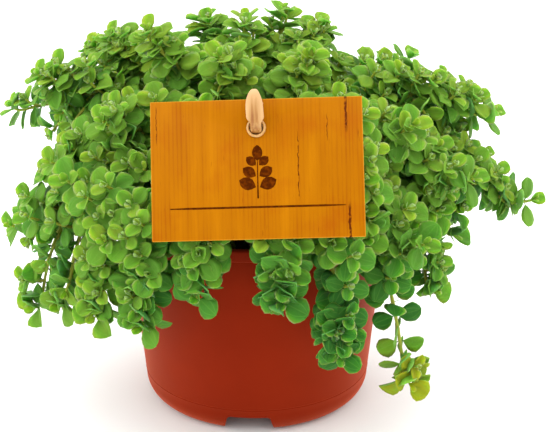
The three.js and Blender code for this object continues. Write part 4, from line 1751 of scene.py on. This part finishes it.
@dataclass(frozen=True)
class Shade:
    """Painted shade and light in the leaves' colour: darker low down, most in the tag's shadow, and paler in
    the sunlit crown.
    """

    below: float = 116.0
    above: float = 130.0
    fade: float = 40.0
    middle: float = 18.0
    reach: float = 78.0
    depth: float = 0.75
    behind: float = 0.3
    sun: float = 0.16

    def at(self, place: Vector) -> float:
        """The painted shade at a place: dark low down, and below nought where painted sunlight pales the
        crown.

        Args:
            place: the leaf's foot.

        Returns:
            What the painted shade adds to the leaf's age value.
        """
        low = clamp((self.below - place.z) / self.fade)
        high = clamp((place.z - self.above) / self.fade)
        beside = min(abs(place.x - self.middle) / self.reach, 1.0)
        under = (1 - beside**2) if place.y < 0 else self.behind
        return low * self.depth * under - high * self.sun


@dataclass(frozen=True)
class Branching:
    """How often a stem bears side shoots: seldom far out, and where it hangs bare beside the pot.

    A strand is a stem that hangs lower than the others.
    """

    bare_height: float = 66.0
    bare_rise: float = 38.0
    outer_reach: float = 96.0
    outer_fade: float = 12.0
    outer_bare: float = 0.55
    free_from: float = 0.7
    free_fade: float = 0.2
    fork: float = 0.9
    fork_length: float = 11.0
    free_fork: float = 0.4
    strand_height: float = 45.0
    strand_bushy: float = 0.45
    strand_leafy: float = 80.0

    def chance(self, bushy: float, end: End, place: Vector, back: float) -> float:
        """The chance of a side shoot.

        Args:
            bushy: the tier's own chance.
            end: azimuth, reach and height of the stem's end.
            place: the shoot's foot.
            back: its distance back from the tip.

        Returns:
            The chance, from 0 to 1.
        """
        azimuth, _, low = end
        front = -math.sin(math.radians(azimuth))
        free = 1 - clamp((front - self.free_from) / self.free_fade)
        full = clamp((place.z - self.bare_height) / self.bare_rise)
        outer = clamp((math.hypot(place.x, place.y) - self.outer_reach) / self.outer_fade)
        chance = bushy * (1 - free * (1 - full)) * (1 - self.outer_bare * outer * free)
        if low < self.strand_height:
            free = 0.0
            chance = self.strand_bushy if place.z > self.strand_leafy else 0.0
        if back < self.fork_length:
            chance = max(chance, self.fork + (self.free_fork - self.fork) * free)
        return chance


@dataclass
class Keepout:
    """What leaves stay clear of: the tag and its stake, the pot, the soil and the ground.

    Places are in millimetres. The hook's box and the stake's top are in the tag's frame.
    """

    tag: Tag
    soil: Soil
    margin: float = 1.0
    touch: float = 0.5
    slack: float = 2.0
    ground: float = 1.0
    inside: float = 3.5
    before_tag: float = 70.0
    behind_tag: float = 1.3
    hook_low: Triple = (-5.5, -8.0, 38.0)
    hook_high: Triple = (5.5, 6.5, 67.0)
    stake_top: Triple = (0, 5, 52)
    stake_room: float = 5.0
    to_tag: Matrix = field(init=False)
    stake_end: Vector = field(init=False)
    low: Vector = field(init=False)
    high: Vector = field(init=False)

    def __post_init__(self) -> None:
        """Takes the turned frame and the solids' box."""
        self.to_tag = self.tag.frame.inverted()
        self.stake_end = self.tag.frame @ (Vector(self.stake_top) * MM) / MM
        low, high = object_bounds()
        self.low = low / MM - Vector((self.slack,) * 3)
        self.high = high / MM + Vector((self.slack,) * 3)
        self.low.z = self.ground

    def blocks(self, point: Vector) -> bool:
        """Whether a place is taken.

        Args:
            point: the place.

        Returns:
            True if it is.
        """
        if any(point[i] < self.low[i] or point[i] > self.high[i] for i in range(3)):
            return True
        return self.in_pot(point) or self.at_tag(point) or self.at_stake(point)

    def in_pot(self, point: Vector) -> bool:
        """Whether a place is in the pot's wall or below, and not in the room over the soil.

        Args:
            point: the place.

        Returns:
            True if it is.
        """
        pot = self.soil.pot
        reach = math.hypot(point.x, point.y)
        wall = pot.radius(point.z) + pot.rim_proud
        if point.z >= pot.height + self.touch or reach >= wall + self.touch:
            return False
        return not (reach < wall - self.inside and point.z > self.soil.top + self.touch)

    def at_tag(self, point: Vector) -> bool:
        """Whether a place is at the tag, before it or at its hook.

        Args:
            point: the place.

        Returns:
            True if it is.
        """
        local = self.to_tag @ (point * MM) / MM
        half = self.tag.width / 2 + self.margin
        low = (-half, -self.before_tag, -self.margin)
        high = (half, self.tag.thickness + self.behind_tag, self.tag.height + self.margin)
        boxes = ((low, high), (self.hook_low, self.hook_high))
        return any(all(a < x < b for a, x, b in zip(lows, local, highs)) for lows, highs in boxes)

    def at_stake(self, point: Vector) -> bool:
        """Whether a place is at the stake, between the soil and the tag.

        Args:
            point: the place.

        Returns:
            True if it is.
        """
        root = Vector(self.tag.reed_root)
        run = self.stake_end - root
        share = clamp((point - root).dot(run) / run.length_squared)
        return (point - root - run * share).length < self.stake_room


@dataclass(frozen=True)
class Habit:
    """How the plant grows: the sizes, angles and chances that all its sprays share.

    Angles are in degrees. A scatter is the full range of a centred draw, and a pair of numbers
    named as a range is the least value and how far draws go above it.
    """

    daylight: Daylight = Daylight()
    # Painted shade and sunlight, added to the leaves' ages
    shade: Shade = Shade()
    branching: Branching = Branching()
    first_seed: int = 20
    seed_step: int = 7
    stem_rise: float = 5.0
    root_scatter: float = 10.0
    root_radius_scatter: float = 4.0
    root_depths: tuple[float, ...] = (14.0, 6.0, 3.0, 0.0)
    end_scatter: float = 30.0
    twist: float = -28.0
    twist_scatter: float = 24.0
    stem_radius: float = 1.05
    shoot_radius: float = 0.68
    tip_radius: float = 0.5
    stem_step: float = 3.2
    joint_swell: float = 1.22
    joint_half: float = 1.7
    joint_most: float = 0.5
    joint_peak: float = 1.2
    joint_fade: float = 1.2
    green_tip: float = 3.0
    tip_length: float = 6.5
    tip_turn: float = 0.8
    tip_leafy: float = 9.0
    tip_pairs: int = 2
    shoot_ahead: float = 0.5
    shoot_out: float = 0.72
    shoot_up: float = 0.3
    shoot_light: float = 0.5
    shoot_growth: float = 0.3
    shoot_longest: float = 17.0
    shoot_range: Pair = (0.85, 0.3)
    shoot_turn: float = 0.75
    shoot_shorter: float = 0.4
    shoot_corners: tuple[Pair, ...] = ((0.5, 0.0), (0.85, 0.2), (0.95, 0.8))
    shoot_leafy: float = 16.0
    vigour_range: Pair = (0.82, 0.2)
    sag: float = 1.5
    sag_start: float = 0.5
    node_backs: tuple[float, ...] = (0.3, 1.6, 3.8, 7.6, 12.8)
    node_sizes: tuple[float, ...] = (0.4, 0.76, 0.98, 1.04, 1.04)
    node_spreads: tuple[float, ...] = (34, 58, 74, 80, 80)
    node_ages: tuple[float, ...] = (0.12, 0.22, 0.36, 0.5, 0.62)
    node_step: float = 6.2
    node_age_step: float = 0.05
    node_scatter: float = 16.0
    node_skip: float = 0.6
    stem_end: float = 2.0
    young_length: float = 24.0
    strand_youth: float = 0.32
    least_age: float = 0.21
    age_scatter: float = 0.12
    young_below: float = 0.8
    bud_below: float = 0.4
    flat_share: float = 0.55
    grown_length: float = 12.0
    length_range: Pair = (0.92, 0.16)
    width_range: Pair = (0.92, 0.2)
    depth_range: Pair = (0.5, 1.2)
    spread_scatter: float = 18.0
    tilt_scatter: float = 0.8
    rosette: float = 6.0
    face_ahead: Pair = (0.4, 0.8)
    face_light: Pair = (1.0, -0.5)
    face_tilt: Pair = (1.0, -0.6)
    folds: tuple[Pair, ...] = ((0, 1.0), (-22, 0.86), (-38, 0.7))
    probes: tuple[Pair, ...] = ((0.6, 0.0), (1.0, 0.0), (0.62, 0.46), (0.62, -0.46))


@dataclass(frozen=True)
class Shoot:
    """A leafy stem: its path, its first pair's angle, how far back leaves go and how they look.

    The youth makes leaves younger than usual, the tip's size makes its small leaves larger, and
    skip leaves out pairs at the tip, where another shoot goes on.
    """

    path: Path
    twist: float
    leafy: float
    vigour: float = 1.0
    youth: float = 0.0
    tip_size: float = 1.0
    skip: int = 0


@dataclass(frozen=True)
class Run:
    """A bare stem: its path, its radius at foot and tip, and its joints' distances back."""

    path: Path
    thick: float
    thin: float
    joints: Sequence[float]


def about_stem(way: Vector, azimuth: float, angle: float) -> tuple[Vector, Vector]:
    """Two directions square to a stem.

    Args:
        way: the stem's own direction.
        azimuth: the spray's azimuth, which sets what is sideways.
        angle: the first direction's angle about the stem, in degrees.

    Returns:
        The direction at the angle, and the one on the stem's upper side.
    """
    level = polar(azimuth + 90, 1, 0)
    side = (level - way * level.dot(way)).normalized()
    upper = way.cross(side)
    turn = math.radians(angle)
    return side * math.cos(turn) + upper * math.sin(turn), upper


@dataclass
class Spray:
    """One spray: the same stem as its solid's, with many small leaves on it and on side shoots."""

    habit: Habit
    keepout: Keepout
    tier: TierShape
    end: End
    number: int
    draws: Draws = field(init=False)
    youth: float = field(init=False)
    leaves: dict[LeafForm, list[Place]] = field(init=False)
    runs: list[Run] = field(init=False)

    def __post_init__(self) -> None:
        """Starts the spray's own random numbers, with no leaf or stem yet."""
        self.draws = Draws(self.habit.first_seed + self.number * self.habit.seed_step)
        strand = self.end[2] < self.habit.branching.strand_height
        self.youth = self.habit.strand_youth if strand else 0.0
        self.leaves = {form: [] for form in LeafForm}
        self.runs = []

    def set_leaves(self, shoot: Shoot) -> list[Pair]:
        """Sets pairs of leaves along a stem, each pair square to the next.

        Args:
            shoot: the stem.

        Returns:
            Each pair's distance back from the tip, with its angle about the stem.
        """
        habit = self.habit
        nodes: list[Pair] = []
        index = shoot.skip
        while True:
            known = min(index, len(habit.node_backs) - 1)
            beyond = max(0, index - known)
            back = habit.node_backs[known] * shoot.vigour + beyond * habit.node_step
            if shoot.skip:
                back -= habit.node_backs[shoot.skip] * shoot.vigour * habit.node_skip
            if back > shoot.leafy or back > shoot.path.length - habit.stem_end:
                return nodes
            angle = shoot.twist + 90 * (index % 2) + self.draws.scatter(habit.node_scatter)
            nodes.append((back, angle))
            size = min(habit.node_sizes[known] * shoot.tip_size, 1.0) * shoot.vigour
            young = shoot.youth if back < habit.young_length else 0.0
            least = 0.0 if young else habit.least_age
            # Painted shade, added to the age: darker low under the tag, paler where the crown is painted
            # sunlit
            shaded = 0.0 if young else habit.shade.at(shoot.path.at(back)[0])
            age = min(1.0, habit.node_ages[known] + habit.node_age_step * beyond + shaded) - young
            form = LeafForm.FLAT if self.draws.next() < habit.flat_share else LeafForm.CUPPED
            if size < habit.bud_below:
                form = LeafForm.BUD
            elif size < habit.young_below:
                form = LeafForm.YOUNG
            for turn in (0, 180):
                place = self.leaf(shoot.path, back, angle + turn, size, habit.node_spreads[known])
                if place is not None:
                    aged_and_shaded = max(least, age + self.draws.scatter(habit.age_scatter))
                    self.leaves[form].append(Place(place, aged_and_shaded, self.draws.next()))
            index += 1

    def leaf(self, path: Path, back: float, angle: float, size: float, spread: float) -> Matrix | None:
        """Places one leaf on a stem, smaller and more folded where it is crowded.

        Args:
            path: the stem.
            back: the distance back from the tip.
            angle: the leaf's angle about the stem.
            size: its size, with 1 as full-grown.
            spread: the angle between it and the stem.

        Returns:
            The leaf's place, or None where it has no room.
        """
        habit, draws = self.habit, self.draws
        foot, way = path.at(back)
        out, _ = about_stem(way, self.end[0], angle)
        wobble = draws.scatter(habit.spread_scatter)
        tilt = Vector([draws.scatter(habit.tilt_scatter) for _ in range(3)])
        wide = draws.above(*habit.width_range)
        deep = draws.above(*habit.depth_range)
        star = math.exp(-back / habit.rosette)
        turns = (habit.face_ahead, habit.face_light, habit.face_tilt)
        ahead, lit, tilted = (usual + at_tip * star for usual, at_tip in turns)
        face = way * ahead + habit.daylight.at(foot) * lit + tilt * tilted
        for fold, shrink in habit.folds:
            opened = math.radians(spread + wobble + fold)
            axis = (way * math.cos(opened) + out * math.sin(opened)).normalized()
            across = face.cross(axis).normalized()
            length = habit.grown_length * size * shrink * draws.above(*habit.length_range)
            matrix = Matrix.Identity(4)
            matrix.col[0] = (*(axis * length), 0)
            matrix.col[1] = (*(across * length * wide), 0)
            matrix.col[2] = (*(axis.cross(across) * length * deep), 0)
            matrix.col[3] = (*foot, 1)
            spots = [foot + axis * (a * length) + across * (b * length) for a, b in habit.probes]
            if not any(self.keepout.blocks(spot) for spot in spots):
                return matrix
        return None

    def shoot_path(self, foot: Vector, way: Vector, length: float, turn: float, sag: float = 0.0) -> Path:
        """A shoot that leaves its stem and bends to the light, or down under its own weight.

        Args:
            foot: where it leaves.
            way: its first direction.
            length: about how long it is.
            turn: how far it bends, from 0 to 1.
            sag: how strongly it hangs.

        Returns:
            Its path.
        """
        light = (self.habit.daylight.at(foot) - UP * sag).normalized()
        ahead = way * (length * (1 - self.habit.shoot_shorter * turn))
        shares = self.habit.shoot_corners
        corners = [foot + ahead * along + light * (length * turn * bent) for along, bent in shares]
        return Path((foot, *corners), samples=10)

    def side_shoot(self, main: Path, back: float, angle: float, turn: float) -> None:
        """Grows one side shoot with its leaves, where chance and room allow it.

        Args:
            main: the spray's stem.
            back: the shoot's distance back from the stem's tip.
            angle: the angle about the stem of the pair of leaves where it grows.
            turn: 0 for the pair's first side and 180 for its second.
        """
        habit, draws = self.habit, self.draws
        place, way = main.at(back)
        if draws.next() > habit.branching.chance(self.tier.bushy, self.end, place, back):
            return
        out, upper = about_stem(way, self.end[0], angle + turn)
        light = habit.daylight.at(place) * habit.shoot_light
        go = way * habit.shoot_ahead + out * habit.shoot_out + upper * habit.shoot_up + light
        longest = min(self.tier.shoot_length + back * habit.shoot_growth, habit.shoot_longest)
        length = longest * draws.above(*habit.shoot_range)
        sag = habit.sag if draws.next() < self.tier.hanging else 0.0
        start = go.normalized() - UP * sag * habit.sag_start
        path = self.shoot_path(place, start, length, habit.shoot_turn, sag)
        if self.keepout.blocks(path.at(0)[0]) or self.keepout.blocks(path.at(length / 2)[0]):
            return
        vigour = draws.above(*habit.vigour_range)
        youth = self.youth if back < habit.young_length else 0.0
        joints = self.set_leaves(Shoot(path, angle + 90, habit.shoot_leafy, vigour, youth))
        self.runs.append(Run(path, habit.shoot_radius, habit.tip_radius, [b for b, _ in joints]))

    def grow_stems(self) -> None:
        """Grows the main stem, its tip, its buried foot and its side shoots, with all leaves."""
        habit, tier, draws = self.habit, self.tier, self.draws
        azimuth, reach, height = self.end
        soil = self.keepout.soil.top
        root_azimuth = azimuth + draws.scatter(habit.root_scatter)
        root_radius = tier.root_radius + draws.scatter(habit.root_radius_scatter)
        foot = polar(root_azimuth, root_radius, soil + habit.stem_rise)
        tip = polar(azimuth, reach, height)
        pitch = math.radians(tier.pitch)
        along = polar(azimuth + draws.scatter(habit.end_scatter), math.cos(pitch), math.sin(pitch))
        last = tip - along * tier.tip_back
        main = Path((foot, foot + UP * tier.rise, tip - along * tier.arm, last))
        root = Path(tuple(foot - UP * depth for depth in habit.root_depths), samples=4)
        twist = habit.twist + draws.scatter(habit.twist_scatter)
        top = self.shoot_path(last, along, habit.tip_length, habit.tip_turn)
        tip_shoot = Shoot(top, twist + 90, habit.tip_leafy, youth=self.youth, tip_size=tier.tip_size)
        joints = self.set_leaves(tip_shoot)
        nodes = self.set_leaves(Shoot(main, twist, tier.leafy, youth=self.youth, skip=habit.tip_pairs))
        self.runs += [
            Run(main, habit.stem_radius, habit.shoot_radius, [back for back, _ in nodes]),
            Run(top, habit.shoot_radius, habit.tip_radius, [back for back, _ in joints]),
            Run(root, habit.stem_radius, habit.stem_radius, [0.0]),
        ]
        for back, angle in nodes:
            if back >= tier.first_shoot:
                self.side_shoot(main, back, angle, 0)
                self.side_shoot(main, back, angle, 180)

    def sweep(self, name: str) -> Piece:
        """Sweeps all the stems and marks their joints.

        Args:
            name: the new piece's name.

        Returns:
            The stems as one piece.
        """
        habit = self.habit
        curve = bpy.data.curves.new(name, "CURVE")
        curve.dimensions = "3D"
        curve.bevel_depth = 1.0
        curve.bevel_resolution = 1
        curve.use_fill_caps = True
        joints: list[Vector] = []
        for run in self.runs:
            full = run.path.length
            joints += [run.path.at(back)[0] for back in run.joints if back > habit.green_tip]
            steps = max(3, int(full / habit.stem_step))
            spline = curve.splines.new("POLY")
            spline.points.add(steps)
            for i, point in enumerate(spline.points):
                back = full * (1 - i / steps)
                place, _ = run.path.at(back)
                swollen = any(abs(back - joint) < habit.joint_half for joint in run.joints)
                radius = run.thin + (run.thick - run.thin) * back / full
                point.co = (*(place * MM), 1)
                point.radius = radius * (habit.joint_swell if swollen else 1.0) * MM
        piece = bpy.data.objects.new(name, curve)
        bpy.context.collection.objects.link(piece)
        choose(piece)
        bpy.ops.object.convert(target="MESH")
        stems = bpy.context.object
        spots = np.array([tuple(joint) for joint in joints]) * MM
        corners = np.empty(len(stems.data.vertices) * 3)
        stems.data.vertices.foreach_get("co", corners)
        near = np.linalg.norm(corners.reshape(-1, 1, 3) - spots[None], axis=2).min(axis=1)
        values = np.clip(habit.joint_peak - near / (habit.joint_fade * MM), 0, habit.joint_most)
        stems.data.attributes.new("joint", "FLOAT", "POINT").data.foreach_set("value", values)
        return stems

    def build(self, patterns: dict[LeafForm, Piece], skin: Material) -> Piece:
        """Grows the spray and joins its stems and leaves.

        Args:
            patterns: the modelled leaves.
            skin: the stems' finish.

        Returns:
            The spray as one piece.
        """
        self.grow_stems()
        name = f"leafy_{self.tier.name}_spray_{self.number + 1:02d}"
        stems = self.sweep(name)
        stems.data.materials.append(skin)
        parts = [scattered(name, patterns[form], places) for form, places in self.leaves.items() if places]
        for part in (stems, *parts):
            choose(part)
            bpy.ops.object.shade_smooth()
        return join(name, stems, *parts)


@dataclass
class Foliage:
    """The whole plant: 46 sprays in four tiers, whose leaves are copies of four modelled ones."""

    keepout: Keepout
    habit: Habit = Habit()

    def build(self) -> None:
        """Models the leaves, grows every spray and removes the models."""
        upper, lower, skin = LeafFinish().make(), UndersideFinish().make(), StemFinish().make()
        patterns = {form: form.value.model(upper, lower) for form in LeafForm}
        sprays = [(tier.value, end) for tier, ends in ENDS.items() for end in ends]
        total = 0
        for number, (tier, end) in enumerate(sprays):
            spray = Spray(self.habit, self.keepout, tier, end, number).build(patterns, skin)
            settle(spray, f"{tier.name}_spray_{number + 1:02d}", "foliage")
            total += sum(len(face.vertices) - 2 for face in spray.data.polygons)
        for pattern in patterns.values():
            bpy.data.objects.remove(pattern, do_unlink=True)
        LOG.info("foliage: %d triangles in %d sprays", total, len(sprays))


# The studio


@dataclass(frozen=True)
class SoftBox:
    """One round soft light: its place and width in millimetres, and its power in watts."""

    name: str
    place: Triple
    width: float
    power: float

    def hang(self, target: Vector) -> None:
        """Hangs the light and aims it.

        Args:
            target: what it is aimed at, in millimetres.
        """
        data = bpy.data.lights.new(self.name, "AREA")
        data.shape = "DISK"
        data.size = self.width * MM
        data.energy = self.power
        box = bpy.data.objects.new(self.name, data)
        box.location = Vector(self.place) * MM
        aim = target * MM - box.location
        box.rotation_euler = aim.to_track_quat("-Z", "Y").to_euler()
        bpy.context.collection.objects.link(box)


@dataclass
class Studio:
    """White paper, three soft lights, the room's glow and the photograph's camera."""

    target: Triple = (9.28, 0.0, 91.0)
    distance: float = 600.0
    pitch: float = 19.66
    lens: float = 79.5
    sensor: float = 36.0
    clip: Pair = (0.05, 30.0)
    paper: float = 9000.0
    glow: float = 0.94
    glow_up: float = 1.5
    glow_back: float = 0.35
    lit: Triple = (0, 0, 100)
    boxes: tuple[SoftBox, ...] = (
        SoftBox("left_box", (-1150, -300, 450), 800, 3.5),
        SoftBox("right_box", (1100, 100, 500), 800, 2.8),
        SoftBox("front_box", (-300, -1200, 1000), 900, 1.5),
    )

    def floor(self) -> None:
        """The paper sweep under the pot."""
        deselect()
        bpy.ops.mesh.primitive_plane_add(size=self.paper * MM)
        floor = bpy.context.object
        floor.name = "studio_paper"
        floor.data.materials.append(StageFinish().make())
        floor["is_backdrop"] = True

    def room(self) -> None:
        """The room's glow: brighter above and behind, darker on the camera's side."""
        world = bpy.data.worlds.new("room")
        world.use_nodes = True
        recipe = Recipe(world, world.node_tree.nodes["Background"])
        place = recipe.add("TexCoord").outputs["Generated"]
        way = recipe.add("SeparateXYZ", {0: place}).outputs
        level = {0: way["Y"], 1: self.glow_back, 2: self.glow}
        levelled = recipe.add("Math", level, operation="MULTIPLY_ADD").outputs[0]
        lift = {0: way["Z"], 1: self.glow_up, 2: levelled}
        recipe.feed("Strength", recipe.add("Math", lift, operation="MULTIPLY_ADD").outputs[0])
        recipe.shader.inputs["Color"].default_value = linear("#ffffff")
        bpy.context.scene.world = world

    def camera(self) -> None:
        """The camera, fitted to the pot's and the tag's corners in the photograph."""
        data = bpy.data.cameras.new("view")
        data.sensor_width = self.sensor
        data.lens = self.lens
        data.clip_start, data.clip_end = self.clip
        camera = bpy.data.objects.new("view", data)
        pitch = math.radians(self.pitch)
        back = Vector((0, -math.cos(pitch), math.sin(pitch)))
        camera.location = (Vector(self.target) + back * self.distance) * MM
        camera.rotation_euler = (-back).to_track_quat("-Z", "Y").to_euler()
        bpy.context.collection.objects.link(camera)
        bpy.context.scene.camera = camera

    def build(self) -> None:
        """Sets up the floor, the lights, the room's glow and the camera."""
        self.floor()
        for box in self.boxes:
            box.hang(Vector(self.lit))
        self.room()
        self.camera()
        bpy.context.scene.view_settings.view_transform = "Standard"


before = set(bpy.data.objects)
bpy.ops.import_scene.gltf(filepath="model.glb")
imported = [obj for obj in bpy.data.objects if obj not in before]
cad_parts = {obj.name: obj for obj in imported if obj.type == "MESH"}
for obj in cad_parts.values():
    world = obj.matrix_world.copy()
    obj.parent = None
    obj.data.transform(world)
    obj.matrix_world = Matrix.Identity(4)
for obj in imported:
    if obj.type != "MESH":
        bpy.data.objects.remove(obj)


def main() -> None:
    """Builds the studio, the pot, the tag and the foliage."""
    logging.basicConfig(level=logging.INFO, format="%(name)s %(message)s")
    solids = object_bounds()
    Studio().build()
    pot = Pot()
    pot.build(PotFinish().make())
    soil = Soil(pot)
    soil.build(CompostFinish().make())
    tag = Tag()
    tag.build()
    Foliage(Keepout(tag, soil)).build()
    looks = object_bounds()
    boxes = {"solids": [list(c) for c in solids], "looks": [list(c) for c in looks]}
    for name, (low, high) in boxes.items():
        LOG.info("%s box in m: %s to %s", name, low, high)


if __name__ == "__main__":
    main()
